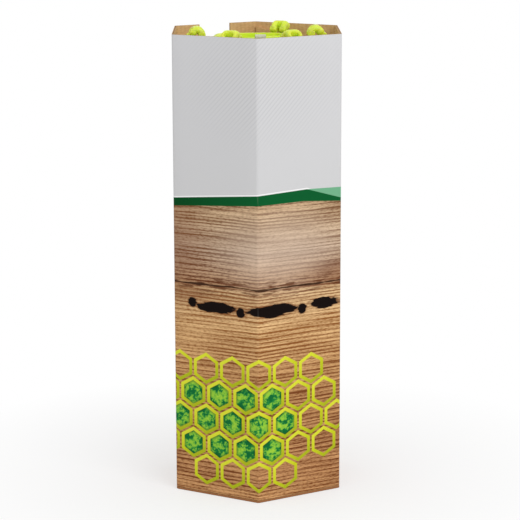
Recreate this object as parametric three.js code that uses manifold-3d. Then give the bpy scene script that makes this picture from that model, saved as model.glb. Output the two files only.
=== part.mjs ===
// A carpenter bee trap in its open-topped hexagonal carton.
// The trap is a six-sided sticky stick with a cap at each end, standing inside a lattice guard that
// keeps birds off the glue. Stick and guard both lift straight out of the carton.
// Millimetres, +Z up, origin at the middle of the carton's base, one carton corner toward -Y.
import * as THREE from "three";
import { mergeVertices } from "three/addons/utils/BufferGeometryUtils.js";
import Module from "manifold-3d";

// General
const clearance = 0.3; // gap between pieces that touch
const overrun = 1; // how far a cut runs past the face it opens
const weldDistance = 0.001; // vertices nearer than this are one vertex
const sides = 6; // the carton, the stick and the guard's straps all go round in sixths
const sixth = (2 * Math.PI) / sides;
const roundedCornerSegments = 2; // of the carton's larger corners; all other corners have one

// Carton
const cartonHeight = 305;
const boardThickness = 1.5;
const guardToCarton = 1; // from the guard to the middle of each wall
const cartonCornerRadius = 2.2;
const notchWidth = 24;
const notchDepth = 14;
const notchCornerRadius = 2.5;
const notchOffset = 1.3; // from the middle of its wall toward the left corner
const notchFace = 2; // the carton's faces are counted from the +X one, anticlockwise
const glueFlapFace = 1;
const glueFlapWidth = 16;
const glueFlapEndGap = 3; // from each end of the wall
const glueFlapTaper = 4;
const basePanelFace = 2; // the face that the outer base panel is folded from
const dustFlapDepth = 32;
const dustFlapRelief = 1.5;
const dustFlapCornerRadius = 4;

// How the trap stands in the carton
const trapTurn = 5; // degrees, round Z
const capBelowRim = 4.5;
const strapAboveRim = 3;

// Sticky stick
const tubeAcrossFlats = 50;
const tubeWall = 1.6;
const tubeCornerRadius = 2.5;
const filmThickness = 0.4;
const linerThickness = 0.4;
const linerSeamGap = 0.8;
const linerSeamSide = 4; // the face that the liner's butt seam is on, clear of the pull tab
const linerSeamFromCorner = 5;
const pullTabWidth = 7;
const pullTabThickness = 0.5;
const pullTabFace = 4; // the face nearest to -Y
const pullTabBond = 13; // length that lies on the liner
const pullTabRise = 3.9; // how far its fold stands above the cap's rim
const pullTabTail = 4.4; // how far its end hangs inside the well
const pullTabFoldSteps = 6;

// Caps
const capHeight = 16;
const skirtWall = 1.8;
const capLipOverhang = 0.8;
const capLipHeight = 1.6;
const capCornerRadius = 2.6;
const wellDepth = 7;
const rimThickness = 2;
const capFloor = 1.6;
const crossbarWidth = 3;
const crossbarHeight = 4;
const crossbarBelowRim = 0.5;
const crossbarRoot = 0.6; // how far its ends run into the rim
const crossbarFace = 0; // the face that its first end stands on
const cordWindowLength = 20;
const cordWindowWidth = 16;
const cordWindowRadius = 3;
const slotWidth = 3.4;
const slotHeight = 2.6;
const slotFromCorner = 4.6; // to the slot's middle
const slotFromEdge = 1.8;

// Lattice guard, in two halves; a column is a line of crossings up the guard
const halfColumns = 12;
const strapColumns = [2, 6, 10];
const neckInset = 5.8; // how much narrower the guard is at the necks of its straps
const ribWidth = 3.6;
const ribThickness = 2.4;
const ribLevels = 10; // rises between the lowest and the highest row of crossings
const shoulderHeight = 20; // from the last row of crossings to the neck of a strap
const openGap = 3.2; // half the free width between ribs that bend back without crossing
const crossingFillet = 1.6;
const bendFillet = 7;
const filletShare = 1 / 3; // the most of an edge that the fillet at one of its ends takes
const seamSplit = 0.3; // gap between the two halves

// Straps that clip the guard to the caps
const strapWidth = 11.4;
const strapNeckWidth = 6;
const strapRise = 7.6; // from the neck to the top of the strap
const strapRoot = 5; // how far it runs down into the ribs
const strapFlare = 2.6; // height over which the neck widens
const strapDome = 4.6; // height of the rounded top
const strapLean = 1.8; // how far it leans inward below its bend
const bendRadius = 4.2; // of the strap's middle line
const bendStep = 30; // degrees between the flats that make the bend
const strapReach = 13.4; // along the strap, from where it starts to bend to the middle of its bead
const beadRadius = 1.6;
const hookGap = 1.2; // from the bead of a curled strap to the corner of the cap beside it
const beadFacets = 6;
const prongGap = 2.6; // of the slit in the end of the strap
const prongLength = 4.6;
const strapEdge = 2.4; // width of the strap on each side of its window
const strapWindowHeight = 4.2;
const strapCurl = 180; // degrees that it bends over
// How far a strap is pressed down in the pack
const standing = 0;
const pressedDown = 8;

// Snap studs that join the two halves of the guard
const studLevels = [2, 4, 6, 8];
const lapRadius = 4.6;
const studRadius = 1.5;
const studHeadRadius = 2.1;
const studHeadHeight = 0.9;
const lapFacets = 10;
const studFacets = 6;

// Worked-out sizes
const flapBottom = boardThickness + clearance;
const trapBottom = flapBottom + boardThickness + clearance;
const capTop = cartonHeight - capBelowRim;
const skirtEdge = capTop - capHeight;
const bottomSkirtEdge = trapBottom + capHeight;
const tubeTop = capTop - wellDepth - capFloor - clearance;
const tubeBottom = trapBottom + capFloor + clearance;
const filmInnerFlats = tubeAcrossFlats + 2 * clearance;
const filmOuterFlats = filmInnerFlats + 2 * filmThickness;
const linerInnerFlats = filmOuterFlats + 2 * clearance;
const linerOuterFlats = linerInnerFlats + 2 * linerThickness;
const skirtAcrossFlats = tubeAcrossFlats + 2 * clearance + 2 * skirtWall;
const capLipAcrossFlats = skirtAcrossFlats + 2 * capLipOverhang;
const wellAcrossFlats = capLipAcrossFlats - 2 * rimThickness;
const capCornerReach = capLipAcrossFlats / 2 / Math.cos(sixth / 2);
const bendCentreRadius = capCornerReach + hookGap + beadRadius + bendRadius;
const neckRadius = bendCentreRadius + bendRadius + strapLean + ribThickness / 2;
const guardRadius = neckRadius + neckInset;
const guardInnerRadius = guardRadius - ribThickness;
const cartonInnerFlats = 2 * (guardRadius + guardToCarton);
const cartonAcrossFlats = cartonInnerFlats + 2 * boardThickness;
const guardTop = cartonHeight + strapAboveRim;
const topNeck = guardTop - strapRise;
const bottomNeck = trapBottom + strapRise;
const lowestRow = bottomNeck + shoulderHeight;
const ribPitch = (topNeck - bottomNeck - 2 * shoulderHeight) / ribLevels;
const ribSpread = openGap + ribWidth / 2; // from a strap's column to the ribs that bend back
const columnStep = Math.PI / halfColumns;

const wasm = await Module();
wasm.setup();

// Solids and geometry

function solidFrom(geometry) {
  const bare = geometry.clone();
  bare.deleteAttribute("normal");
  bare.deleteAttribute("uv");
  const welded = mergeVertices(bare, weldDistance);
  return new wasm.Manifold(
    new wasm.Mesh({
      numProp: 3,
      vertProperties: new Float32Array(welded.attributes.position.array),
      triVerts: new Uint32Array(welded.index.array),
    }),
  );
}

function geometryFrom(solid) {
  const { vertProperties, triVerts } = solid.getMesh();
  const geometry = new THREE.BufferGeometry();
  geometry.setAttribute("position", new THREE.BufferAttribute(vertProperties, 3));
  geometry.setIndex(new THREE.BufferAttribute(triVerts, 1));
  const flat = geometry.toNonIndexed();
  flat.computeVertexNormals();
  return flat;
}

// A flat outline given a height, standing on z = bottom
function prism(shape, height, bottom = 0, curveSegments = 1) {
  const options = { depth: height, bevelEnabled: false, curveSegments };
  return new THREE.ExtrudeGeometry(shape, options).translate(0, 0, bottom);
}

function block(width, depth, height, x, y, z) {
  return new THREE.BoxGeometry(width, depth, height).translate(x, y, z);
}

function sideLength(acrossFlats) {
  return acrossFlats * Math.tan(sixth / 2);
}

// Outlines

function hexagon(acrossFlats, cornerRadius, Outline = THREE.Shape) {
  const outline = new Outline();
  const centreDistance = (acrossFlats / 2 - cornerRadius) / Math.cos(sixth / 2);
  for (let corner = 0; corner < sides; corner++) {
    const angle = corner * sixth;
    const x = centreDistance * Math.cos(angle);
    const y = centreDistance * Math.sin(angle);
    outline.absarc(x, y, cornerRadius, angle - sixth / 2, angle + sixth / 2, false);
  }
  outline.closePath();
  return outline;
}

function hexagonRing(outerFlats, innerFlats, outerCornerRadius) {
  const wall = (outerFlats - innerFlats) / 2;
  const ring = hexagon(outerFlats, outerCornerRadius);
  ring.holes.push(hexagon(innerFlats, Math.max(outerCornerRadius - wall, wall / 2), THREE.Path));
  return ring;
}

function roundedRectangle(width, height, radius) {
  const shape = new THREE.Shape();
  const x = width / 2 - radius;
  const y = height / 2 - radius;
  shape.absarc(x, y, radius, 0, Math.PI / 2, false);
  shape.absarc(-x, y, radius, Math.PI / 2, Math.PI, false);
  shape.absarc(-x, -y, radius, Math.PI, 1.5 * Math.PI, false);
  shape.absarc(x, -y, radius, 1.5 * Math.PI, 2 * Math.PI, false);
  shape.closePath();
  return shape;
}

// The point where the two edges that meet at a corner cross, once each has moved left by distance
function offsetCorner(before, corner, after, distance) {
  const inward = corner.clone().sub(before).normalize();
  const outward = after.clone().sub(corner).normalize();
  const bisector = inward.clone().add(outward).normalize();
  const normal = new THREE.Vector2(-bisector.y, bisector.x);
  const stretch = 1 / Math.abs(inward.dot(bisector));
  return corner.clone().addScaledVector(normal, distance * stretch);
}

function offsetLoop(points, distance) {
  const count = points.length;
  return points.map((point, i) =>
    offsetCorner(points[(i + count - 1) % count], point, points[(i + 1) % count], distance),
  );
}

// A strip of even thickness along an open line of points, which goes straight on at both ends
function stripShape(points, thickness) {
  const beyond = (end, next) => end.clone().add(end).sub(next);
  const before = beyond(points[0], points[1]);
  const after = beyond(points[points.length - 1], points[points.length - 2]);
  const longer = [before, ...points, after];
  const side = (distance) =>
    points.map((point, i) => offsetCorner(longer[i], point, longer[i + 2], distance));
  return new THREE.Shape([...side(-thickness / 2), ...side(thickness / 2).reverse()]);
}

// A closed outline through points; a corner is rounded where its fillet isn't 0
function filletedLoop(points, fillets, Outline) {
  const outline = new Outline();
  const count = points.length;
  points.forEach((point, i) => {
    const before = points[(i + count - 1) % count];
    const after = points[(i + 1) % count];
    const longest = filletShare * Math.min(point.distanceTo(before), point.distanceTo(after));
    const reach = Math.min(fillets[i], longest);
    const start = point.clone().lerp(before, reach / point.distanceTo(before));
    const end = point.clone().lerp(after, reach / point.distanceTo(after));
    if (i === 0) outline.moveTo(start.x, start.y);
    else outline.lineTo(start.x, start.y);
    if (reach > 0) outline.quadraticCurveTo(point.x, point.y, end.x, end.y);
  });
  outline.closePath();
  return outline;
}

// Each face of a hexagon has its own frame: X along it, Y inward, Z up
function onFace(geometry, face, apothem, firstNormal) {
  const normal = firstNormal + face * sixth;
  geometry.rotateZ(normal + Math.PI / 2);
  return geometry.translate(apothem * Math.cos(normal), apothem * Math.sin(normal), 0);
}

// Materials

function plastic(color) {
  return new THREE.MeshStandardMaterial({ color, roughness: 0.38, metalness: 0 });
}

function paper(color) {
  return new THREE.MeshStandardMaterial({ color, roughness: 0.85, metalness: 0 });
}

function mesh(name, geometry, material) {
  const made = new THREE.Mesh(geometry, material);
  made.name = name;
  return made;
}

const printedBoard = paper(0xcfcfcf);
const kraftBoard = paper(0xbe9664);
const tubeBoard = paper(0xb9b6a8);
const printedFilm = new THREE.MeshStandardMaterial({ color: 0x4fae2a, roughness: 0.3, metalness: 0 });
const releasePaper = paper(0xd9d9c8);
const limePlastic = plastic(0xc4e63a);
const guardPlastic = plastic(0xcfee44);

// Carton: one board folded at six corners, with its flaps

function cartonSleeve() {
  const outline = hexagonRing(cartonAcrossFlats, cartonInnerFlats, cartonCornerRadius);
  const wall = prism(outline, cartonHeight - flapBottom, flapBottom, roundedCornerSegments);
  wall.rotateZ(sixth / 2);
  // The notch is the lower half of a rounded rectangle that is centred on the rim
  const cut = roundedRectangle(notchWidth, 2 * notchDepth, notchCornerRadius);
  const notch = prism(cut, boardThickness + 2 * overrun);
  notch.rotateX(Math.PI / 2);
  notch.translate(notchOffset, boardThickness + overrun, cartonHeight);
  onFace(notch, notchFace, cartonAcrossFlats / 2, 0);
  return geometryFrom(solidFrom(wall).subtract(solidFrom(notch)));
}

// The flap lies on the inside of its wall, beside the corner where the blank's two ends meet
function glueFlap() {
  const low = flapBottom + boardThickness + clearance + glueFlapEndGap;
  const high = cartonHeight - glueFlapEndGap;
  const outer = sideLength(cartonInnerFlats) / 2 - boardThickness;
  const inner = outer - glueFlapWidth;
  const shape = new THREE.Shape();
  shape.moveTo(outer, low);
  shape.lineTo(outer, high);
  shape.lineTo(inner, high - glueFlapTaper);
  shape.lineTo(inner, low + glueFlapTaper);
  shape.closePath();
  const flap = prism(shape, boardThickness);
  flap.rotateX(Math.PI / 2);
  flap.translate(0, clearance + boardThickness, 0);
  return onFace(flap, glueFlapFace, cartonInnerFlats / 2, 0);
}

function basePanel() {
  const outline = hexagon(cartonAcrossFlats, cartonCornerRadius);
  const panel = prism(outline, boardThickness, 0, roundedCornerSegments);
  return panel.rotateZ(sixth / 2);
}

function dustFlap(face) {
  const rootHalf = sideLength(cartonInnerFlats) / 2 - dustFlapRelief;
  const tipHalf = rootHalf - dustFlapDepth * Math.tan(sixth / 2);
  const corners = [
    new THREE.Vector2(-rootHalf, clearance),
    new THREE.Vector2(rootHalf, clearance),
    new THREE.Vector2(tipHalf, dustFlapDepth),
    new THREE.Vector2(-tipHalf, dustFlapDepth),
  ];
  const fillets = [0, 0, dustFlapCornerRadius, dustFlapCornerRadius];
  const flap = prism(filletedLoop(corners, fillets, THREE.Shape), boardThickness, flapBottom);
  return onFace(flap, face, cartonInnerFlats / 2, 0);
}

// Stick: a board tube, the printed sticky film, the liner over the glue and its pull tab

function stickTube() {
  const inner = tubeAcrossFlats - 2 * tubeWall;
  return prism(hexagonRing(tubeAcrossFlats, inner, tubeCornerRadius), tubeTop - tubeBottom, tubeBottom);
}

function wrapLength() {
  return skirtEdge - bottomSkirtEdge - 2 * clearance;
}

function adhesiveFilm() {
  const ring = hexagonRing(filmOuterFlats, filmInnerFlats, tubeCornerRadius + filmThickness);
  return prism(ring, wrapLength(), bottomSkirtEdge + clearance);
}

function releaseLiner() {
  const ring = hexagonRing(linerOuterFlats, linerInnerFlats, tubeCornerRadius + linerThickness);
  const sleeve = solidFrom(prism(ring, wrapLength(), bottomSkirtEdge + clearance));
  const seam = block(
    linerSeamGap,
    linerThickness + 2 * clearance,
    wrapLength() + 2 * overrun,
    sideLength(linerOuterFlats) / 2 - linerSeamFromCorner,
    linerThickness / 2,
    (skirtEdge + bottomSkirtEdge) / 2,
  );
  onFace(seam, linerSeamSide, linerOuterFlats / 2, sixth / 2);
  return geometryFrom(sleeve.subtract(solidFrom(seam)));
}

// The tab runs up the liner, out round the cap's lip and over its rim into the well
function pullTab() {
  const onLiner = linerOuterFlats / 2 + clearance + pullTabThickness / 2;
  const onLip = capLipAcrossFlats / 2 + clearance + pullTabThickness / 2;
  const inWell = wellAcrossFlats / 2 - clearance - pullTabThickness / 2;
  const foldRadius = (onLip - inWell) / 2;
  const foldHeight = capTop + pullTabRise - foldRadius - pullTabThickness / 2;
  const jog = onLip - onLiner;
  const line = [
    new THREE.Vector2(onLiner, skirtEdge - jog - pullTabBond),
    new THREE.Vector2(onLiner, skirtEdge - 2 * jog),
    new THREE.Vector2(onLip, skirtEdge - clearance),
  ];
  for (let step = 0; step <= pullTabFoldSteps; step++) {
    const angle = (step * Math.PI) / pullTabFoldSteps;
    const x = (onLip + inWell) / 2 + foldRadius * Math.cos(angle);
    line.push(new THREE.Vector2(x, foldHeight + foldRadius * Math.sin(angle)));
  }
  line.push(new THREE.Vector2(inWell, capTop - pullTabTail));
  const tab = prism(stripShape(line, pullTabThickness), pullTabWidth, -pullTabWidth / 2);
  tab.rotateX(Math.PI / 2);
  return tab.rotateZ(sixth / 2 + pullTabFace * sixth);
}

// Caps

function capShell(bottom, lipBottom) {
  const skirt = solidFrom(prism(hexagon(skirtAcrossFlats, capCornerRadius), capHeight, bottom));
  const lip = solidFrom(prism(hexagon(capLipAcrossFlats, capCornerRadius), capLipHeight, lipBottom));
  return skirt.add(lip);
}

// Two small slots stand beside each corner, where the guard's straps clip in
function cutStrapSlots(cap, slotMiddle) {
  const fromMiddle = sideLength(skirtAcrossFlats) / 2 - slotFromCorner;
  const depth = (skirtAcrossFlats - tubeAcrossFlats) / 2 + overrun;
  let cut = cap;
  for (let face = 0; face < sides; face++) {
    for (const side of [-1, 1]) {
      const x = side * fromMiddle;
      const slot = block(slotWidth, depth, slotHeight, x, depth / 2 - overrun, slotMiddle);
      cut = cut.subtract(solidFrom(onFace(slot, face, skirtAcrossFlats / 2, sixth / 2)));
    }
  }
  return cut;
}

function topCap() {
  const wellFloor = capTop - wellDepth;
  const socketTop = wellFloor - capFloor;
  const shell = capShell(skirtEdge, capTop - capLipHeight);
  const well = prism(hexagon(wellAcrossFlats, capCornerRadius), wellDepth + overrun, wellFloor);
  const socket = prism(
    hexagon(tubeAcrossFlats + 2 * clearance, tubeCornerRadius),
    socketTop - skirtEdge + overrun,
    skirtEdge - overrun,
  );
  const window = prism(
    roundedRectangle(cordWindowWidth, cordWindowLength, cordWindowRadius),
    capFloor + 2 * overrun,
    socketTop - overrun,
  );
  const crossbar = block(
    crossbarWidth,
    wellAcrossFlats + 2 * crossbarRoot,
    crossbarHeight,
    0,
    0,
    capTop - crossbarBelowRim - crossbarHeight / 2,
  );
  const acrossBar = sixth / 2 + crossbarFace * sixth - Math.PI / 2;
  window.rotateZ(acrossBar);
  crossbar.rotateZ(acrossBar);
  const hollow = shell.subtract(solidFrom(well)).subtract(solidFrom(socket)).subtract(solidFrom(window));
  const slotMiddle = skirtEdge + slotFromEdge + slotHeight / 2;
  return geometryFrom(cutStrapSlots(hollow.add(solidFrom(crossbar)), slotMiddle));
}

function bottomCap() {
  const shell = capShell(trapBottom, trapBottom);
  const socket = prism(
    hexagon(tubeAcrossFlats + 2 * clearance, tubeCornerRadius),
    capHeight - capFloor + overrun,
    trapBottom + capFloor,
  );
  const slotMiddle = bottomSkirtEdge - slotFromEdge - slotHeight / 2;
  return geometryFrom(cutStrapSlots(shell.subtract(solidFrom(socket)), slotMiddle));
}

// Lattice guard. Each half is laid out flat, with x round the guard and y up it, and then bent
// round the stick. Rows of crossings alternate: even rows cross between the straps and only bend
// back in line with them, odd rows cross everywhere.

const rowHeight = (row) => lowestRow + row * ribPitch;

// A point of the flat layout, with its columns counted from the half's first seam
function flatPoint(column, height, shift = 0) {
  return new THREE.Vector2(column * columnStep * guardRadius + shift, height);
}

// The guard is narrower at its ends, where the ribs gather to the straps
function outerRadius(height) {
  const fromNeck = Math.min(height - bottomNeck, topNeck - height);
  const share = THREE.MathUtils.clamp(fromNeck / (shoulderHeight + ribPitch), 0, 1);
  return neckRadius + (guardRadius - neckRadius) * Math.sin((share * Math.PI) / 2);
}

function bendRoundStick(geometry) {
  const place = geometry.attributes.position;
  for (let i = 0; i < place.count; i++) {
    const angle = place.getX(i) / guardRadius;
    const radius = outerRadius(place.getY(i)) - ribThickness + place.getZ(i);
    place.setXYZ(i, radius * Math.cos(angle), radius * Math.sin(angle), place.getY(i));
  }
  return geometry;
}

function neckPoint(column, atTop, drops) {
  return flatPoint(column, atTop ? topNeck - drops[strapColumns.indexOf(column)] : bottomNeck);
}

function latticeCells(drops) {
  const cells = [];
  const add = (points, fillets) => cells.push({ points, fillets });
  // Diamonds beside each strap's column, one in each even row; the end ones close at the strap's neck
  const crossing = (strapColumn, side, row) => {
    if (row < 0) return neckPoint(strapColumn, false, drops);
    if (row > ribLevels) return neckPoint(strapColumn, true, drops);
    return flatPoint(strapColumn + side, rowHeight(row));
  };
  for (const strapColumn of strapColumns) {
    for (const side of [-1, 1]) {
      for (let row = 0; row <= ribLevels; row += 2) {
        const outer = flatPoint(strapColumn + 2 * side, rowHeight(row));
        const inner = flatPoint(strapColumn, rowHeight(row), side * ribSpread);
        const below = crossing(strapColumn, side, row - 1);
        const above = crossing(strapColumn, side, row + 1);
        const loop = side > 0 ? [below, outer, above, inner] : [below, inner, above, outer];
        const bend = side > 0 ? 3 : 1;
        add(loop, loop.map((point, i) => (i === bend ? bendFillet : crossingFillet)));
      }
    }
  }
  // Diamonds between the straps, one in each odd row
  for (let column = 4; column < halfColumns; column += 4) {
    for (let row = 1; row < ribLevels; row += 2) {
      const loop = [
        flatPoint(column, rowHeight(row - 1)),
        flatPoint(column + 1, rowHeight(row)),
        flatPoint(column, rowHeight(row + 1)),
        flatPoint(column - 1, rowHeight(row)),
      ];
      add(loop, loop.map(() => crossingFillet));
    }
  }
  // One long waved opening in line with each strap
  for (const column of strapColumns) {
    const right = [];
    const left = [];
    const fillets = [];
    for (let row = 0; row <= ribLevels; row++) {
      const bends = row % 2 === 0;
      const height = rowHeight(row);
      right.push(bends ? flatPoint(column, height, ribSpread) : flatPoint(column + 1, height));
      left.push(bends ? flatPoint(column, height, -ribSpread) : flatPoint(column - 1, height));
      fillets.push(bends ? bendFillet : crossingFillet);
    }
    add(
      [neckPoint(column, false, drops), ...right, neckPoint(column, true, drops), ...left.reverse()],
      [crossingFillet, ...fillets, crossingFillet, ...fillets.reverse()],
    );
  }
  return cells;
}

// The outer edge of a half: straps and open vees along both ends, waves along both seams
function latticeEdge(drops) {
  const edge = [];
  const ends = (atTop) => {
    const row = atTop ? ribLevels : 0;
    const run = [];
    for (const column of strapColumns) {
      run.push(neckPoint(column, atTop, drops));
      if (column < halfColumns - 2) run.push(flatPoint(column + 2, rowHeight(row)));
    }
    return run;
  };
  const seam = (column, inward) => {
    const run = [];
    for (let row = 0; row <= ribLevels; row++) {
      run.push(flatPoint(row % 2 === 0 ? column : column + inward, rowHeight(row)));
    }
    return run;
  };
  edge.push(...ends(false), ...seam(halfColumns, -1), ...ends(true).reverse(), ...seam(0, 1).reverse());
  return edge;
}

function latticeHalf(drops) {
  const edge = offsetLoop(latticeEdge(drops), -ribWidth / 2);
  const blank = filletedLoop(edge, edge.map(() => crossingFillet), THREE.Shape);
  for (const { points, fillets } of latticeCells(drops)) {
    blank.holes.push(filletedLoop(offsetLoop(points, ribWidth / 2), fillets, THREE.Path));
  }
  return bendRoundStick(prism(blank, ribThickness));
}

// A strap seen from its side: up from the neck, over in its bend, and on to the bead
function strapLine() {
  const line = [
    new THREE.Vector2(neckRadius - ribThickness / 2, -strapRoot),
    new THREE.Vector2(neckRadius - ribThickness / 2, 0),
  ];
  const bendHeight = strapRise - ribThickness / 2 - bendRadius;
  const turn = THREE.MathUtils.degToRad(strapCurl);
  const leg = strapReach - turn * bendRadius;
  const steps = Math.round(strapCurl / bendStep);
  for (let step = 0; step <= steps; step++) {
    const angle = (turn * step) / steps;
    const x = bendCentreRadius + bendRadius * Math.cos(angle);
    line.push(new THREE.Vector2(x, bendHeight + bendRadius * Math.sin(angle)));
  }
  const tip = line[line.length - 1];
  line.push(new THREE.Vector2(tip.x - leg * Math.sin(turn), tip.y + leg * Math.cos(turn)));
  return line;
}

// The same strap seen from the front: a narrow neck that widens to a round top
function strapFront() {
  const front = new THREE.Shape();
  const domeStart = strapRise - strapDome;
  front.moveTo(-strapNeckWidth / 2, -strapRoot - overrun);
  front.lineTo(strapNeckWidth / 2, -strapRoot - overrun);
  front.lineTo(strapNeckWidth / 2, 0);
  front.lineTo(strapWidth / 2, Math.min(strapFlare, domeStart));
  front.absellipse(0, domeStart, strapWidth / 2, strapDome, 0, Math.PI, false, 0);
  front.lineTo(-strapNeckWidth / 2, 0);
  front.closePath();
  return front;
}

// An outline drawn across the strap and up it becomes a solid along the radius
function alongRadius(shape, depth, from, curveSegments) {
  return prism(shape, depth, from, curveSegments).rotateX(Math.PI / 2).rotateZ(Math.PI / 2);
}

// A three-cornered window leaves two edges that carry on the line of the crossing ribs
function strapWindow() {
  const half = strapWidth / 2 - strapEdge;
  const opening = new THREE.Shape();
  opening.moveTo(0, 0);
  opening.lineTo(half, strapWindowHeight);
  opening.lineTo(-half, strapWindowHeight);
  opening.closePath();
  return alongRadius(opening, neckRadius - bendCentreRadius + overrun, bendCentreRadius);
}

// The slit that parts the end of the strap into two prongs, from past the bead back along it
function prongSlit(tip, turn) {
  const length = prongLength + beadRadius + overrun;
  const slit = block(2 * (beadRadius + overrun), prongGap, length, 0, 0, length / 2 - prongLength);
  slit.rotateY(-turn);
  return slit.translate(tip.x, 0, tip.y);
}

// A strap with its neck at height 0, standing at the +X side of the axis
function strap() {
  const line = strapLine();
  const tip = line[line.length - 1];
  const turn = THREE.MathUtils.degToRad(strapCurl);
  const side = prism(stripShape(line, ribThickness), strapWidth, -strapWidth / 2).rotateX(Math.PI / 2);
  const bead = new THREE.CylinderGeometry(beadRadius, beadRadius, strapWidth, beadFacets);
  const beaded = solidFrom(side).add(solidFrom(bead.translate(tip.x, 0, tip.y)));
  const front = alongRadius(strapFront(), neckRadius + overrun, 0, roundedCornerSegments);
  const outlined = beaded.intersect(solidFrom(front));
  return outlined.subtract(solidFrom(prongSlit(tip, turn))).subtract(solidFrom(strapWindow()));
}

function placedStrap(height, angle, atTop) {
  const geometry = geometryFrom(strap());
  if (!atTop) geometry.rotateX(Math.PI);
  return solidFrom(geometry.rotateZ(angle).translate(0, 0, height));
}

// A round lap plate or stud at a seam: a cylinder along the radius, from one radius to another
function radialDisc(radius, from, to, height, angle, facets = lapFacets) {
  const disc = new THREE.CylinderGeometry(radius, radius, to - from, facets);
  disc.rotateZ(Math.PI / 2);
  disc.translate((from + to) / 2, 0, height);
  return solidFrom(disc.rotateZ(angle));
}

function guardHalf(drops) {
  let half = solidFrom(latticeHalf(drops));
  strapColumns.forEach((column, i) => {
    const angle = column * columnStep;
    half = half.add(placedStrap(topNeck - drops[i], angle, true));
    half = half.add(placedStrap(bottomNeck, angle, false));
  });
  // Cut along the plane of the two seams
  const wide = 2 * (guardRadius + overrun);
  const tall = 2 * guardTop;
  half = half.subtract(solidFrom(block(wide, wide, tall, 0, (seamSplit - wide) / 2, 0)));
  // Lap plates: the outer one at the first seam has the hole, the inner one at the last has the stud
  const lapMiddle = guardRadius - ribThickness / 2;
  const outerLap = [lapMiddle + clearance / 2, guardRadius];
  const innerLap = [guardInnerRadius, lapMiddle - clearance / 2];
  const inside = [guardInnerRadius - overrun, outerLap[0]];
  const outside = [innerLap[1], guardRadius + overrun];
  const stud = [innerLap[0], guardRadius + clearance + studHeadHeight];
  const head = [guardRadius + clearance, guardRadius + clearance + studHeadHeight];
  for (const row of studLevels) {
    const height = rowHeight(row);
    half = half.add(radialDisc(lapRadius, ...outerLap, height, 0));
    half = half.subtract(radialDisc(lapRadius + clearance, ...inside, height, 0));
    half = half.subtract(radialDisc(studRadius + clearance, ...outside, height, 0));
    half = half.add(radialDisc(lapRadius, ...innerLap, height, Math.PI));
    half = half.subtract(radialDisc(lapRadius + clearance, ...outside, height, Math.PI));
    half = half.add(radialDisc(studRadius, ...stud, height, Math.PI, studFacets));
    half = half.add(radialDisc(studHeadRadius, ...head, height, Math.PI, studFacets));
  }
  return geometryFrom(half);
}

// Assembly

const carton = new THREE.Group();
carton.add(mesh("carton_sleeve", cartonSleeve(), printedBoard));
carton.add(mesh("carton_glue_flap", glueFlap(), kraftBoard));
carton.add(mesh("carton_base_panel", basePanel(), kraftBoard));
let flapNumber = 0;
for (let face = 0; face < sides; face++) {
  if (face === basePanelFace) continue;
  flapNumber += 1;
  carton.add(mesh(`carton_dust_flap_${flapNumber}`, dustFlap(face), kraftBoard));
}

const stick = new THREE.Group();
stick.add(mesh("stick_tube", stickTube(), tubeBoard));
stick.add(mesh("adhesive_film", adhesiveFilm(), printedFilm));
stick.add(mesh("release_liner", releaseLiner(), releasePaper));
stick.add(mesh("liner_pull_tab", pullTab(), releasePaper));
stick.add(mesh("top_cap", topCap(), limePlastic));
stick.add(mesh("bottom_cap", bottomCap(), limePlastic));

const guard = new THREE.Group();
const rearHalf = mesh("guard_half_rear", guardHalf([standing, pressedDown, standing]), guardPlastic);
rearHalf.rotation.z = sixth / 2;
const frontHalf = mesh("guard_half_front", guardHalf([standing, standing, standing]), guardPlastic);
frontHalf.rotation.z = sixth / 2 + Math.PI;
guard.add(rearHalf, frontHalf);

const trap = new THREE.Group();
trap.rotation.z = THREE.MathUtils.degToRad(trapTurn);
trap.add(stick, guard);

const beeTrap = new THREE.Group();
beeTrap.add(carton, trap);

export default beeTrap;
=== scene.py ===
"""A carpenter bee trap in its open hexagonal carton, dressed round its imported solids.

Sizes are in millimetres and angles in degrees, unless a name says otherwise. A mesh is shrunk to
metres when it becomes an object.
"""

import logging
import math
from collections.abc import Iterable, Sequence
from dataclasses import dataclass
from enum import Enum

import bmesh
import bpy
from mathutils import Matrix, Vector


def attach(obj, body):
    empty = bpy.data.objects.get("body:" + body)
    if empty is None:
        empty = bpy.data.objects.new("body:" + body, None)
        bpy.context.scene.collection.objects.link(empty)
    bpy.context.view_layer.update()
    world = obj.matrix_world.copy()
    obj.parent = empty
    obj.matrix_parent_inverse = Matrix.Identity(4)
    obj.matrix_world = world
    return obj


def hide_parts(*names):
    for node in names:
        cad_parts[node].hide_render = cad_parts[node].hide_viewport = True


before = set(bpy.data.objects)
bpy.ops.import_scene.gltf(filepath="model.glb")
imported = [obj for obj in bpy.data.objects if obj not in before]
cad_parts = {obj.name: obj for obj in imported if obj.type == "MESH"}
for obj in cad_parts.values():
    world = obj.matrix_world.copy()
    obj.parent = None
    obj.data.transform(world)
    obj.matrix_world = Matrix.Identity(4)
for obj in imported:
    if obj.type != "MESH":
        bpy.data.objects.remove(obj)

MM = 0.001
SIDES = 6
# The turn from one side of a hexagon to the next
SIXTH = 360 / SIDES
# Edges that bend more than this are sharp
SHARP = 40.0
# The map that runs round a wall, and the attribute that holds the depth in the board
WRAP = "wrap"
DEPTH = "board_depth"
# A spot of the print: its middle, half its length and half its height
Spot = tuple[float, float, float, float]
# Streaks of the print: their length round the carton, their height up it and their detail
Streaks = tuple[float, float, float]
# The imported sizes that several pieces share, with the directions of the first sides
CARTON_HEIGHT = 305.0
CARTON_FLATS = 109.43
CARTON_NORMAL = 0.0
STICK_NORMAL = 35.0
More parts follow.
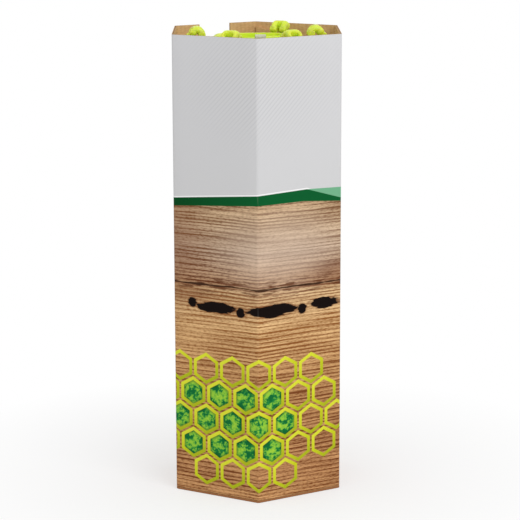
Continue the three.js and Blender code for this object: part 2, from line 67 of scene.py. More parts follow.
# The kinds of node that are used most
MATH = "ShaderNodeMath"
VECTOR = "ShaderNodeVectorMath"
MAPPING = "ShaderNodeMapping"
RANGE = "ShaderNodeMapRange"
NOISE = "ShaderNodeTexNoise"
RAMP = "ShaderNodeValToRGB"
MIX = "ShaderNodeMix"
BUMP = "ShaderNodeBump"
PARTS = "ShaderNodeSeparateXYZ"
COORDS = "ShaderNodeTexCoord"
UV_MAP = "ShaderNodeUVMap"
# Short names for Blender's types
BMesh = bmesh.types.BMesh
BMEdge = bmesh.types.BMEdge
BMFace = bmesh.types.BMFace
BMVert = bmesh.types.BMVert
Material = bpy.types.Material
Mesh = bpy.types.Mesh
Node = bpy.types.Node
NodeSocket = bpy.types.NodeSocket
NodeTree = bpy.types.NodeTree
Object = bpy.types.Object
log = logging.getLogger("bee_trap")


# Small tools for nodes and meshes


def linear(colour: str) -> tuple[float, float, float, float]:
    """Turns an sRGB hex colour to the linear colour that shaders take.

    Args:
        colour: The colour as "#RRGGBB".

    Returns:
        Red, green, blue and a full alpha.
    """
    levels = [int(colour[i : i + 2], 16) / 255 for i in (1, 3, 5)]
    red, green, blue = (c / 12.92 if c <= 0.04045 else ((c + 0.055) / 1.055) ** 2.4 for c in levels)
    return red, green, blue, 1.0


def add(tree: NodeTree, kind: str, inputs: dict | None = None, **settings: object) -> Node:
    """Adds a node with its settings and links.

    Args:
        tree: The node tree.
        kind: The node's type name.
        inputs: Values, sockets or nodes for the inputs, by name or number.
        **settings: Properties of the node, set before its inputs.

    Returns:
        The new node.
    """
    node = tree.nodes.new(kind)
    for name, value in settings.items():
        setattr(node, name, value)
    for key, value in (inputs or {}).items():
        socket = node.inputs[key]
        if isinstance(value, Node):
            value = next(out for out in value.outputs if out.enabled)
        if isinstance(value, NodeSocket):
            tree.links.new(value, socket)
        else:
            socket.default_value = value
    return node


def set_ramp(ramp: Node, stops: Sequence[tuple[float, str]]) -> Node:
    """Gives a colour ramp its stops.

    Args:
        ramp: The colour ramp node.
        stops: Positions with their hex colours, in rising order.

    Returns:
        The same node.
    """
    elements = ramp.color_ramp.elements
    while len(elements) > 1:
        elements.remove(elements[-1])
    for i, (position, colour) in enumerate(stops):
        element = elements[0] if i == 0 else elements.new(position)
        element.position = position
        element.color = linear(colour)
    return ramp


def lay(tree: NodeTree, below: NodeSocket, ink: str | NodeSocket, share: Node) -> NodeSocket:
    """Lays an ink, a hex colour or a socket, over the colour below it, by the share that covers."""
    over = linear(ink) if isinstance(ink, str) else ink
    return add(tree, MIX, {"Factor": share, 6: below, 7: over}, data_type="RGBA").outputs[2]


def cleared_tree(owner: Material | bpy.types.World) -> NodeTree:
    """Empties the node tree of a material or a world.

    Args:
        owner: The material or the world.

    Returns:
        Its tree, with no nodes.
    """
    owner.use_nodes = True
    owner.node_tree.nodes.clear()
    return owner.node_tree


def polar(angle: float) -> Vector:
    """The unit vector at an angle round Z."""
    return Vector((math.cos(math.radians(angle)), math.sin(math.radians(angle)), 0))


def turned(angle: float) -> Matrix:
    """A turn round Z."""
    return Matrix.Rotation(math.radians(angle), 4, "Z")


def side_length(across_flats: float) -> float:
    """The side of a hexagon of that width across its flats."""
    return across_flats * math.tan(math.radians(SIXTH / 2))


def applied_mesh(obj: Object, name: str) -> Mesh:
    """Takes an object's mesh with its modifiers applied, and removes the object.

    Args:
        obj: The object with live modifiers.
        name: The name of the new mesh.

    Returns:
        A mesh of its own.
    """
    bpy.context.view_layer.update()
    graph = bpy.context.evaluated_depsgraph_get()
    shape = obj.evaluated_get(graph)
    mesh = bpy.data.meshes.new_from_object(shape, preserve_all_data_layers=True, depsgraph=graph)
    mesh.name = name
    bpy.data.objects.remove(obj)
    return mesh


def link_mesh(mesh: Mesh, name: str) -> Object:
    """Links a finished mesh as an object at the origin.

    Args:
        mesh: The mesh, in metres.
        name: The object's name.

    Returns:
        The linked object.
    """
    obj = bpy.data.objects.new(name, mesh)
    bpy.context.scene.collection.objects.link(obj)
    return obj


def make_object(bm: BMesh, name: str, materials: Sequence[Material], smooth: bool = True) -> Object:
    """Turns a finished bmesh in millimetres to an object in metres at the origin.

    Args:
        bm: The bmesh, which is freed.
        name: The object's name.
        materials: Its materials, in slot order.
        smooth: Whether its faces are shaded smooth.

    Returns:
        The linked object.
    """
    bmesh.ops.scale(bm, vec=(MM, MM, MM), verts=bm.verts)
    for face in bm.faces:
        face.smooth = smooth
    mesh = bpy.data.meshes.new(name)
    bm.to_mesh(mesh)
    bm.free()
    for material in materials:
        mesh.materials.append(material)
    return link_mesh(mesh, name)


def give_wall(obj: Object, thickness: float, offset: float = -1.0) -> bpy.types.SolidifyModifier:
    """Gives a sheet its thickness with a Solidify modifier.

    Args:
        obj: The sheet.
        thickness: The thickness.
        offset: -1 puts it inside the sheet, and 0 half on each side.

    Returns:
        The modifier.
    """
    wall = obj.modifiers.new("wall", "SOLIDIFY")
    wall.thickness = thickness * MM
    wall.offset = offset
    # A wall inside a hexagon stays as thick at the corners
    wall.use_even_offset = offset < 0
    return wall


def cut_out(obj: Object, cutter: Object, name: str) -> Mesh:
    """Cuts one object out of another with a Boolean modifier, and removes both.

    Args:
        obj: The object that is cut.
        cutter: The shape that is cut out of it.
        name: The name of the new mesh.

    Returns:
        The mesh that is left.
    """
    cut = obj.modifiers.new("openings", "BOOLEAN")
    cut.operation = "DIFFERENCE"
    cut.solver = "EXACT"
    cut.object = cutter
    mesh = applied_mesh(obj, name)
    bpy.data.objects.remove(cutter)
    return mesh


def soften_edges(obj: Object, width: float, segments: int = 2) -> None:
    """Rounds an object's sharp edges with a Bevel modifier.

    Args:
        obj: The object.
        width: The bevel's width.
        segments: Its segments.
    """
    bevel = obj.modifiers.new("edges", "BEVEL")
    bevel.width = width * MM
    bevel.segments = segments
    bevel.limit_method = "ANGLE"
    bevel.angle_limit = math.radians(SHARP)
    bevel.harden_normals = True
    mark_sharp(obj.data)


def mark_sharp(mesh: Mesh) -> None:
    """Marks a mesh's sharp edges, so that only the others are shaded smooth."""
    mesh.set_sharp_from_angle(angle=math.radians(SHARP))


def settle(obj: Object, body: str, nodes: Iterable[str] = ()) -> None:
    """Rides a piece on its body and reports it.

    Args:
        obj: The piece.
        body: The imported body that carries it.
        nodes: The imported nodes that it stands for.
    """
    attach(obj, body)
    if nodes:
        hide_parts(*nodes)
    log.info("%s: %d faces on %s", obj.name, len(obj.data.polygons), body)


def round_off(
    bm: BMesh, parts: Iterable[BMEdge | BMVert], reach: float, segments: int, affect: str = "EDGES"
) -> list[BMVert]:
    """Rounds edges, or the corners of a flat face.

    Args:
        bm: The bmesh they are in.
        parts: The edges or the corners.
        reach: How far from them the rounding starts.
        segments: Its steps.
        affect: "EDGES" or "VERTICES".

    Returns:
        The vertices of the rounding.
    """
    made = bmesh.ops.bevel(
        bm,
        geom=list(parts),
        offset=reach,
        offset_type="OFFSET",
        segments=segments,
        profile=0.5,
        affect=affect,
        material=-1,
    )
    return made["verts"]


def edges_along(edges: Iterable[BMEdge], axis: int) -> list[BMEdge]:
    """The edges that reach more than 1 mm along an axis, which is 0, 1 or 2 for X, Y or Z."""
    return [e for e in edges if abs(e.verts[0].co[axis] - e.verts[1].co[axis]) > 1]


def add_disc(
    bm: BMesh, radius: float, length: float, rounding: float, segments: int, place: Matrix
) -> None:
    """Adds a disc or short cylinder with rounded rims.

    Args:
        bm: The bmesh it goes into.
        radius: Its radius.
        length: Its length along Z.
        rounding: The size of its rounded rims.
        segments: Its steps round Z.
        place: Where it goes.
    """
    made = bmesh.ops.create_cone(
        bm,
        cap_ends=True,
        segments=segments,
        radius1=radius,
        radius2=radius,
        depth=length,
        matrix=place,
    )
    ends = {face for vert in made["verts"] for face in vert.link_faces if len(face.verts) > 4}
    round_off(bm, {edge for face in ends for edge in face.edges}, rounding, 3)


def hexagon_face(
    bm: BMesh, across_flats: float, corner_radius: float, height: float, first_normal: float
) -> BMFace:
    """Adds one flat hexagon with rounded corners.

    Args:
        bm: The bmesh it goes into.
        across_flats: Its width across flats.
        corner_radius: The radius of its corners.
        height: Its height over the base.
        first_normal: The direction of its first side.

    Returns:
        The hexagon's face.
    """
    half = math.radians(SIXTH / 2)
    reach = across_flats / 2 / math.cos(half)
    # Blender's circle starts at +Y
    place = Matrix.Translation((0, 0, height)) @ turned(first_normal + SIXTH / 2 - 90)
    ring = bmesh.ops.create_circle(bm, cap_ends=True, segments=SIDES, radius=reach, matrix=place)
    corner = round_off(bm, ring["verts"], corner_radius * math.tan(half), 4, "VERTICES")[0]
    return corner.link_faces[0]


def raise_face(bm: BMesh, face: BMFace, across: float, height: float) -> BMFace:
    """Extrudes a hexagon to a new width and height, with a wall behind it.

    Args:
        bm: The bmesh.
        face: The hexagon.
        across: How many times as wide it becomes.
        height: The height that it moves to.

    Returns:
        The moved face.
    """
    moved = bmesh.ops.extrude_discrete_faces(bm, faces=[face])["faces"][0]
    verts = list(moved.verts)
    bmesh.ops.scale(bm, vec=(across, across, 1), verts=verts)
    bmesh.ops.translate(bm, vec=(0, 0, height - verts[0].co.z), verts=verts)
    return moved


def open_tube(
    across_flats: float, corner_radius: float, bottom: float, top: float, first_normal: float
) -> BMesh:
    """Makes the outer wall of an open hexagonal tube.

    Args:
        across_flats: Its width across flats.
        corner_radius: The radius of its corners.
        bottom: The height of its lower end.
        top: The height of its upper end.
        first_normal: The direction of its first side.

    Returns:
        A bmesh of the wall alone.
    """
    bm = bmesh.new()
    face = hexagon_face(bm, across_flats, corner_radius, bottom, first_normal)
    end = raise_face(bm, face, 1, top)
    bmesh.ops.delete(bm, geom=[end], context="FACES_ONLY")
    return bm


def unwrap_round(mesh: Mesh, across_flats: float, seam: float) -> None:
    """Lays out a hexagonal wall as the UV map "wrap", in millimetres.

    U runs round the wall from the seam, anticlockwise from above, and V up it.

    Args:
        mesh: The wall's mesh, in metres.
        across_flats: Its width across flats.
        seam: The direction of the corner where U starts.
    """
    side = side_length(across_flats)
    layer = mesh.uv_layers.new(name=WRAP)

    def round_wall(point: Vector) -> float:
        """Finds how far round from the seam a point is, along the flats.

        Args:
            point: The point, whose distance from the axis doesn't matter.

        Returns:
            The distance in millimetres.
        """
        angle = (math.degrees(math.atan2(point.y, point.x)) - seam) % 360
        number = min(int(angle // SIXTH), SIDES - 1)
        within = math.radians(angle - (number + 0.5) * SIXTH)
        return side * (number + 0.5) + across_flats / 2 * math.tan(within)

    total = SIDES * side
    for polygon in mesh.polygons:
        middle = round_wall(polygon.center)
        for loop in polygon.loop_indices:
            point = mesh.vertices[mesh.loops[loop].vertex_index].co
            across = round_wall(point)
            if across - middle > total / 2:
                across -= total
            if middle - across > total / 2:
                across += total
            layer.data[loop].uv = (across, point.z / MM)


# Finishes


@dataclass(frozen=True)
class Finish:
    """What a surface is made of. Each kind builds one material."""

    name: str

    def start(self) -> NodeTree:
        """Makes the material, still with no nodes."""
        return cleared_tree(bpy.data.materials.new(self.name))

    def finish(self, tree: NodeTree, inputs: dict) -> Material:
        """Adds the shader over the patterns.

        Args:
            tree: The material's node tree.
            inputs: The shader's colour, relief and even values, by name.

        Returns:
            The finished material.
        """
        shader = add(tree, "ShaderNodeBsdfPrincipled", inputs)
        add(tree, "ShaderNodeOutputMaterial", {"Surface": shader})
        return bpy.data.materials[self.name]

    def build(self) -> Material:
        """Builds the material."""
        raise NotImplementedError

    def made(self) -> Material:
        """The material, built once."""
        return bpy.data.materials.get(self.name) or self.build()


@dataclass(frozen=True)
class MouldedPlastic(Finish):
    """Injection-moulded polypropylene: a lime that glows a little at thin edges, with a satin skin."""

    light: str = "#EBFC52"
    deep: str = "#D8F03C"
    roughness: float = 0.36
    glow: float = 0.6
    glow_depth: float = 4.0
    glow_colour: tuple[float, float, float] = (0.8, 1.0, 0.25)
    flow_mark: float = 9.0
    skin_grain: float = 0.9
    skin_depth: float = 0.05

    def build(self) -> Material:
        """Builds the plastic with faint flow marks and a fine skin.

        Returns:
            The finished material.
        """
        tree = self.start()
        place = add(tree, COORDS).outputs["Object"]
        flow = add(tree, NOISE, {"Vector": place, "Scale": 1 / (self.flow_mark * MM), "Detail": 2.0})
        skin = add(tree, NOISE, {"Vector": place, "Scale": 1 / (self.skin_grain * MM), "Detail": 2.0})
        relief = {"Strength": 0.08, "Distance": self.skin_depth * MM, "Height": skin}
        inputs = {
            "Base Color": set_ramp(
                add(tree, RAMP, {"Fac": flow}), [(0.3, self.deep), (0.7, self.light)]
            ),
            "Normal": add(tree, BUMP, relief),
            "Roughness": self.roughness,
            "IOR": 1.49,
            "Subsurface Weight": self.glow,
            "Subsurface Scale": self.glow_depth * MM,
            "Subsurface Radius": self.glow_colour,
        }
        return self.finish(tree, inputs)


@dataclass(frozen=True)
class Corrugated(Finish):
    """What the finishes of corrugated board share: the pitch of its flutes."""

    flute_pitch: float = 3.2

    def flutes(self, tree: NodeTree) -> Node:
        """Makes the wave of the flutes, which stand upright side by side round the carton.

        Args:
            tree: The material's node tree.

        Returns:
            The wave, from -1 to 1.
        """
        across = add(tree, PARTS, {0: add(tree, UV_MAP, uv_map=WRAP)}).outputs[0]
        phase = add(tree, MATH, {0: across, 1: math.tau / self.flute_pitch}, operation="MULTIPLY")
        return add(tree, MATH, {0: phase}, operation="SINE")


@dataclass(frozen=True)
class KraftBoard(Corrugated):
    """Brown kraft liner of corrugated board: matt, fibrous, with the flutes showing faintly through."""

    light: str = "#E5BC8A"
    deep: str = "#CC9F6C"
    coating: str = "#D9D8D4"
    print_on_folds: str = "#99673F"
    cloud: float = 22.0
    # Per metre: fibres 3 mm long by 0.5 mm, round the carton, coarser than real ones so that they show
    fibres: tuple[float, float, float] = (330.0, 330.0, 1900.0)
    fibre_depth: float = 0.12
    fluted: bool = False
    coated_below: bool = False
    printed_sides: bool = False

    def build(self) -> Material:
        """Builds the kraft liner.

        Returns:
            The finished material.
        """
        tree = self.start()
        place = add(tree, COORDS).outputs["Object"]
        stretch = add(tree, MAPPING, {"Vector": place, "Scale": self.fibres})
        fibre = add(tree, NOISE, {"Vector": stretch, "Scale": 1.0, "Detail": 5.0})
        cloud = add(tree, NOISE, {"Vector": place, "Scale": 1 / (self.cloud * MM), "Detail": 2.0})
        tone = add(tree, MIX, {"Factor": 0.45, 2: fibre, 3: cloud}, data_type="FLOAT")
        height = fibre
        if self.fluted:
            wave = self.flutes(tree)
            tone = add(tree, MATH, {0: wave, 1: 0.035, 2: tone}, operation="MULTIPLY_ADD")
            height = add(tree, MATH, {0: wave, 1: 0.4, 2: fibre}, operation="MULTIPLY_ADD")
        ramp = set_ramp(add(tree, RAMP, {"Fac": tone}), [(0.36, self.deep), (0.62, self.light)])
        colour = ramp.outputs[0]
        if self.coated_below or self.printed_sides:
            normal = add(tree, "ShaderNodeNewGeometry").outputs["Normal"]
            up = add(tree, PARTS, {0: normal}).outputs[2]
        if self.coated_below:
            # The printed side of the board is coated white, and it faces the floor here
            below = add(tree, MATH, {0: up, 1: -0.5}, operation="LESS_THAN")
            colour = lay(tree, colour, self.coating, below)
        if self.printed_sides:
            # The sides of the base are folds, and the wood's print runs over them
            level = add(tree, MATH, {0: up}, operation="ABSOLUTE")
            side = add(tree, MATH, {0: level, 1: 0.5}, operation="LESS_THAN")
            colour = lay(tree, colour, self.print_on_folds, side)
        relief = {"Strength": 0.25, "Distance": self.fibre_depth * MM, "Height": height}
        inputs = {
            "Base Color": colour,
            "Normal": add(tree, BUMP, relief),
            "Roughness": 0.88,
            "IOR": 1.5,
            "Specular IOR Level": 0.3,
        }
        return self.finish(tree, inputs)


@dataclass(frozen=True)
class BoardEdge(Corrugated):
    """Cut edge of corrugated board: two liners with the wavy fluting between them, and painted shade in
    the hollows among them.
    """

    light: str = "#D3AA77"
    # The painted shade in the hollows between the fluting and the liners
    gap: str = "#7A5833"
    gap_depth: float = 0.3
    board: float = 1.5
    liner: float = 0.22
    # How far the fluting swings to each side, and half its own thickness
    swing: float = 0.45
    fluting: float = 0.14
    soft: float = 0.12

    def build(self) -> Material:
        """Builds the edge from the depth in the board and the way round it.

        Returns:
            The finished material.
        """
        tree = self.start()
        middle = self.board / 2
        depth = add(tree, "ShaderNodeAttribute", attribute_name=DEPTH).outputs["Fac"]
        wave = {0: self.flutes(tree), 1: self.swing, 2: middle}
        off_fluting = {0: depth, 1: add(tree, MATH, wave, operation="MULTIPLY_ADD")}
        spans = []
        for off in (off_fluting, {0: depth, 1: middle}):
            apart = add(tree, MATH, off, operation="SUBTRACT")
            spans.append(add(tree, MATH, {0: apart}, operation="ABSOLUTE"))
        from_fluting = add(tree, MATH, {0: spans[0], 1: self.fluting}, operation="SUBTRACT")
        from_liner = add(tree, MATH, {0: middle - self.liner, 1: spans[1]}, operation="SUBTRACT")
        free = add(tree, MATH, {0: from_fluting, 1: from_liner}, operation="MINIMUM")
        # The share is 1 in the hollows, which are pressed in and get the painted shade
        share = add(tree, RANGE, {"Value": free, 1: 0.0, 2: self.soft, 3: 0.0, 4: 1.0})
        relief = {"Strength": 0.5, "Distance": self.gap_depth * MM, "Height": share}
        inputs = {
            "Base Color": set_ramp(
                add(tree, RAMP, {"Fac": share}), [(0.0, self.light), (1.0, self.gap)]
            ),
            "Normal": add(tree, BUMP, relief, invert=True),
            "Roughness": 0.92,
            "Specular IOR Level": 0.25,
        }
        return self.finish(tree, inputs)


@dataclass(frozen=True)
class Layout:
    """Where a print lies on its sheet: the map, millimetres round it and millimetres up it."""

    tree: NodeTree
    uv: NodeSocket
    u: NodeSocket
    v: NodeSocket

    @classmethod
    def read(cls, tree: NodeTree) -> "Layout":
        """Reads the UV map "wrap" in a node tree.

        Args:
            tree: The material's node tree.

        Returns:
            The layout of the sheet.
        """
        uv = add(tree, UV_MAP, uv_map=WRAP)
        place = add(tree, PARTS, {0: uv})
        return cls(tree, uv.outputs[0], place.outputs[0], place.outputs[1])

    def streaks(self, sizes: Streaks) -> Node:
        """Cloudy streaks that lie round the carton.

        Args:
            sizes: Their length, their height, and how many finer sizes are in them.

        Returns:
            The noise, about 0.5.
        """
        length, rise, detail = sizes
        scaled = add(self.tree, MAPPING, {"Vector": self.uv, "Scale": (1 / length, 1 / rise, 1.0)})
        return add(self.tree, NOISE, {"Vector": scaled, "Scale": 1.0, "Detail": detail})

    def from_spot(self, spot: Spot, place: Node | None = None, pointed: bool = False) -> Node:
        """How far out of a spot a point is, where 1 is its edge.

        Args:
            spot: The spot's middle, half length and half height.
            place: The point, if it isn't the map's own.
            pointed: Whether the spot is a slit that runs out in two points, and no oval.

        Returns:
            The distance.
        """
        tree = self.tree
        middle_u, middle_v, half_length, half_height = spot
        from_middle = {0: place or self.uv, 1: (middle_u, middle_v, 0.0)}
        away = add(tree, VECTOR, from_middle, operation="SUBTRACT")
        to_edge = {0: away, 1: (1 / half_length, 1 / half_height, 0.0)}
        shares = add(tree, VECTOR, to_edge, operation="MULTIPLY")
        if not pointed:
            return add(tree, VECTOR, {0: shares}, operation="LENGTH")
        sizes = add(tree, VECTOR, {0: shares}, operation="ABSOLUTE")
        along, up = add(tree, PARTS, {0: sizes}).outputs[:2]
        return add(tree, MATH, {0: up, 1: up, 2: along}, operation="MULTIPLY_ADD")

    def fade(self, value: Node, start: float, end: float, most: float = 1.0) -> Node:
        """A share that falls softly from the most, where the value is at its start, to none at its end."""
        step = {"Value": value, 1: start, 2: end, 3: most, 4: 0.0}
        return add(self.tree, RANGE, step, interpolation_type="SMOOTHSTEP")


@dataclass(frozen=True)
class WoodGrain:
    """A sawn pine plank whose grain runs round the carton: thin brown lines on tan."""

    line_pitch: float = 2.7
    top: float = 205.0
    # How far the lines wander in long and in short waves, and how unevenly they are set
    slow_drift: float = 8.0
    quick_drift: float = 1.5
    unevenness: float = 2.6
    slow_waves: Streaks = (190.0, 70.0, 1.0)
    quick_waves: Streaks = (46.0, 10.0, 2.0)
    years: Streaks = (900.0, 11.0, 1.0)
    strong_years: Streaks = (85.0, 7.0, 2.0)
    fibres: Streaks = (26.0, 0.7, 4.0)
    clouds: Streaks = (70.0, 9.0, 3.0)
    # Real pores are finer and are drawn coarse, so that they show
    pores: Streaks = (2.6, 0.8, 3.0)
    # Heights with the colour between the lines and the colour of a line
    tones: tuple[tuple[float, str, str], ...] = (
        (0.0, "#E8B47C", "#7E4822"),
        (14.0, "#D8A26F", "#74401E"),
        (60.0, "#D5A16B", "#743F1E"),
        (90.0, "#E1B179", "#824D25"),
        (118.0, "#EDC48D", "#935E30"),
        (139.0, "#EDCA99", "#8C5B34"),
        (146.0, "#D3AB84", "#633620"),
        (166.0, "#DBC0A5", "#7A563C"),
        (188.0, "#E0C29D", "#80593A"),
        (205.0, "#D0AA81", "#60391F"),
    )
    paler_patch: Spot = (206.0, 167.0, 52.0, 34.0)
    ruddy: tuple[Spot, ...] = (
        (128.0, 172.0, 28.0, 50.0),
        (254.0, 148.0, 38.0, 11.0),
        (134.0, 136.0, 30.0, 8.0),
        (20.0, 176.0, 50.0, 30.0),
        (350.0, 60.0, 60.0, 40.0),
    )

    def lines(self, sheet: Layout) -> Node:
        """The lines of the years, which wander as they run round the carton.

        Args:
            sheet: The layout of the print.

        Returns:
            How dark a line is at a point.
        """
        tree = sheet.tree
        height = sheet.v
        # Wet and dry years set the lines unevenly apart
        for waves, reach in (
            (self.slow_waves, self.slow_drift),
            (self.quick_waves, self.quick_drift),
            (self.years, self.unevenness * self.line_pitch),
        ):
            shift = {0: sheet.streaks(waves), 1: reach, 2: height}
            height = add(tree, MATH, shift, operation="MULTIPLY_ADD")
        cycle = add(tree, MATH, {0: height, 1: 1 / self.line_pitch}, operation="MULTIPLY")
        year = add(tree, MATH, {0: cycle}, operation="FRACT")
        # Each line darkens slowly and ends at once
        late = add(tree, RANGE, {"Value": year, 1: 0.35, 2: 0.84}, interpolation_type="SMOOTHSTEP")
        line = add(tree, MATH, {0: late, 1: sheet.fade(year, 0.86, 1.0)}, operation="MULTIPLY")
        strong = {"Value": sheet.streaks(self.strong_years), 1: 0.34, 2: 0.62, 3: 0.22, 4: 1.0}
        return add(tree, MATH, {0: line, 1: add(tree, RANGE, strong)}, operation="MULTIPLY")

    def paint(self, sheet: Layout) -> NodeSocket:
        """Paints the plank.

        Args:
            sheet: The layout of the print.

        Returns:
            Its colour.
        """
        tree = sheet.tree
        # Each kind of streak shows from one level of its noise, and fully at another
        shown = (
            (self.fibres, 0.42, 0.7, 0.55),
            (self.clouds, 0.4, 0.7, 0.34),
            (self.pores, 0.46, 0.72, 0.5),
        )
        dark = None
        for streaks, start, full, most in shown:
            share = {"Value": sheet.streaks(streaks), 1: start, 2: full, 3: 0.0, 4: most}
            share = add(tree, RANGE, share)
            dark = add(tree, MATH, {0: dark, 1: share}, operation="ADD") if dark else share
        with_lines = {0: self.lines(sheet), 1: 0.85, 2: dark}
        dark = add(tree, MATH, with_lines, operation="MULTIPLY_ADD", use_clamp=True)
        # A patch where the wood is paler and its lines are fainter
        pale = sheet.fade(sheet.from_spot(self.paler_patch), 0.2, 1.2, 0.3)
        kept = add(tree, MATH, {0: 1.0, 1: pale}, operation="SUBTRACT")
        dark = add(tree, MATH, {0: dark, 1: kept}, operation="MULTIPLY")
        height = add(tree, MATH, {0: sheet.v, 1: 1 / self.top}, operation="MULTIPLY")
        between = [(v / self.top, light) for v, light, _ in self.tones]
        on_lines = [(v / self.top, deep) for v, _, deep in self.tones]
        colour, line_colour = (
            set_ramp(add(tree, RAMP, {"Fac": height}), stops).outputs[0] for stops in (between, on_lines)
        )
        colour = lay(tree, colour, line_colour, dark)
        colour = lay(tree, colour, "#D3BFB0", pale)
        for spot in self.ruddy:
            colour = lay(tree, colour, "#7A4526", sheet.fade(sheet.from_spot(spot), 0.1, 1.3, 0.45))
        return colour


@dataclass(frozen=True)
class Crack:
    """A drying crack that runs along the plank, wide in some places and closed in others."""

    height: float = 143.2
    wander: float = 3.0
    narrowest: float = 0.16
    widest: float = 1.0
    torn_reach: float = 10.0
    # The course and the width are the same at every height, so their streaks are endlessly high
    course: Streaks = (30.0, math.inf, 3.0)
    widths: Streaks = (17.0, math.inf, 2.0)
    torn_fibres: Streaks = (13.0, 1.5, 4.0)

    def paint(self, sheet: Layout, below: NodeSocket) -> NodeSocket:
        """Paints the crack and the stained wood beside it.

        Args:
            sheet: The layout of the print.
            below: The wood's colour.

        Returns:
            The colour with the crack.
        """
        tree = sheet.tree
        course = {0: sheet.streaks(self.course), 1: self.wander, 2: self.height - self.wander / 2}
        middle = add(tree, MATH, course, operation="MULTIPLY_ADD")
        off = add(tree, MATH, {0: sheet.v, 1: middle}, operation="SUBTRACT")
        away = add(tree, MATH, {0: off}, operation="ABSOLUTE")
        width = {"Value": sheet.streaks(self.widths), 1: 0.4, 2: 0.7, 3: self.narrowest, 4: self.widest}
        outside = add(tree, MATH, {0: away, 1: add(tree, RANGE, width)}, operation="SUBTRACT")
        # Short torn fibres lie in shadow on both sides
        fibres = sheet.streaks(self.torn_fibres)
        torn = add(tree, RANGE, {"Value": fibres, 1: 0.52, 2: 0.58, 3: 0.0, 4: 0.85})
        near = sheet.fade(outside, 0.0, self.torn_reach)
        torn = add(tree, MATH, {0: torn, 1: near}, operation="MULTIPLY")
        below = lay(tree, below, "#5C3118", torn)
        stained = lay(tree, below, "#7E4F34", sheet.fade(outside, -0.4, 2.0, 0.4))
        return lay(tree, stained, "#2F160B", sheet.fade(outside, -0.2, 0.4, 0.92))


@dataclass(frozen=True)
class BeeHoles:
    """Round holes that bees bore in such a plank, and galleries torn open, in a row under the crack."""

    bores: tuple[Spot, ...] = (
        (140.0, 130.4, 3.2, 3.2),
        (176.5, 127.0, 3.3, 3.3),
        (223.0, 127.6, 3.3, 3.3),
    )
    galleries: tuple[Spot, ...] = (
        (157.5, 128.4, 14.0, 4.3),
        (200.5, 128.8, 19.0, 4.6),
        (239.5, 129.8, 11.0, 3.9),
    )
    bore_tear: float = 4.0
    gallery_tear: float = 13.0
    chips: Streaks = (8.0, 2.0, 4.0)

    def paint(self, sheet: Layout, below: NodeSocket) -> NodeSocket:
        """Paints the dark holes with their stained rims.

        Args:
            sheet: The layout of the print.
            below: The wood's colour.

        Returns:
            The colour with the holes.
        """
        tree = sheet.tree
        chips = {0: sheet.streaks(self.chips).outputs["Color"], 1: (0.5, 0.5, 0.0)}
        chips = add(tree, VECTOR, chips, operation="SUBTRACT")
        away = []
        for tear, holes in ((self.bore_tear, self.bores), (self.gallery_tear, self.galleries)):
            reach = {0: chips, 1: (tear, tear / 3, 0.0), 2: sheet.uv}
            torn = add(tree, VECTOR, reach, operation="MULTIPLY_ADD")
            pointed = holes is self.galleries
            away += [sheet.from_spot(hole, torn, pointed) for hole in holes]
        nearest = away[0]
        for other in away[1:]:
            nearest = add(tree, MATH, {0: nearest, 1: other}, operation="MINIMUM")
        stained = lay(tree, below, "#6B3D22", sheet.fade(nearest, 1.0, 1.35, 0.6))
        return lay(tree, stained, "#0E0503", sheet.fade(nearest, 0.94, 1.04))


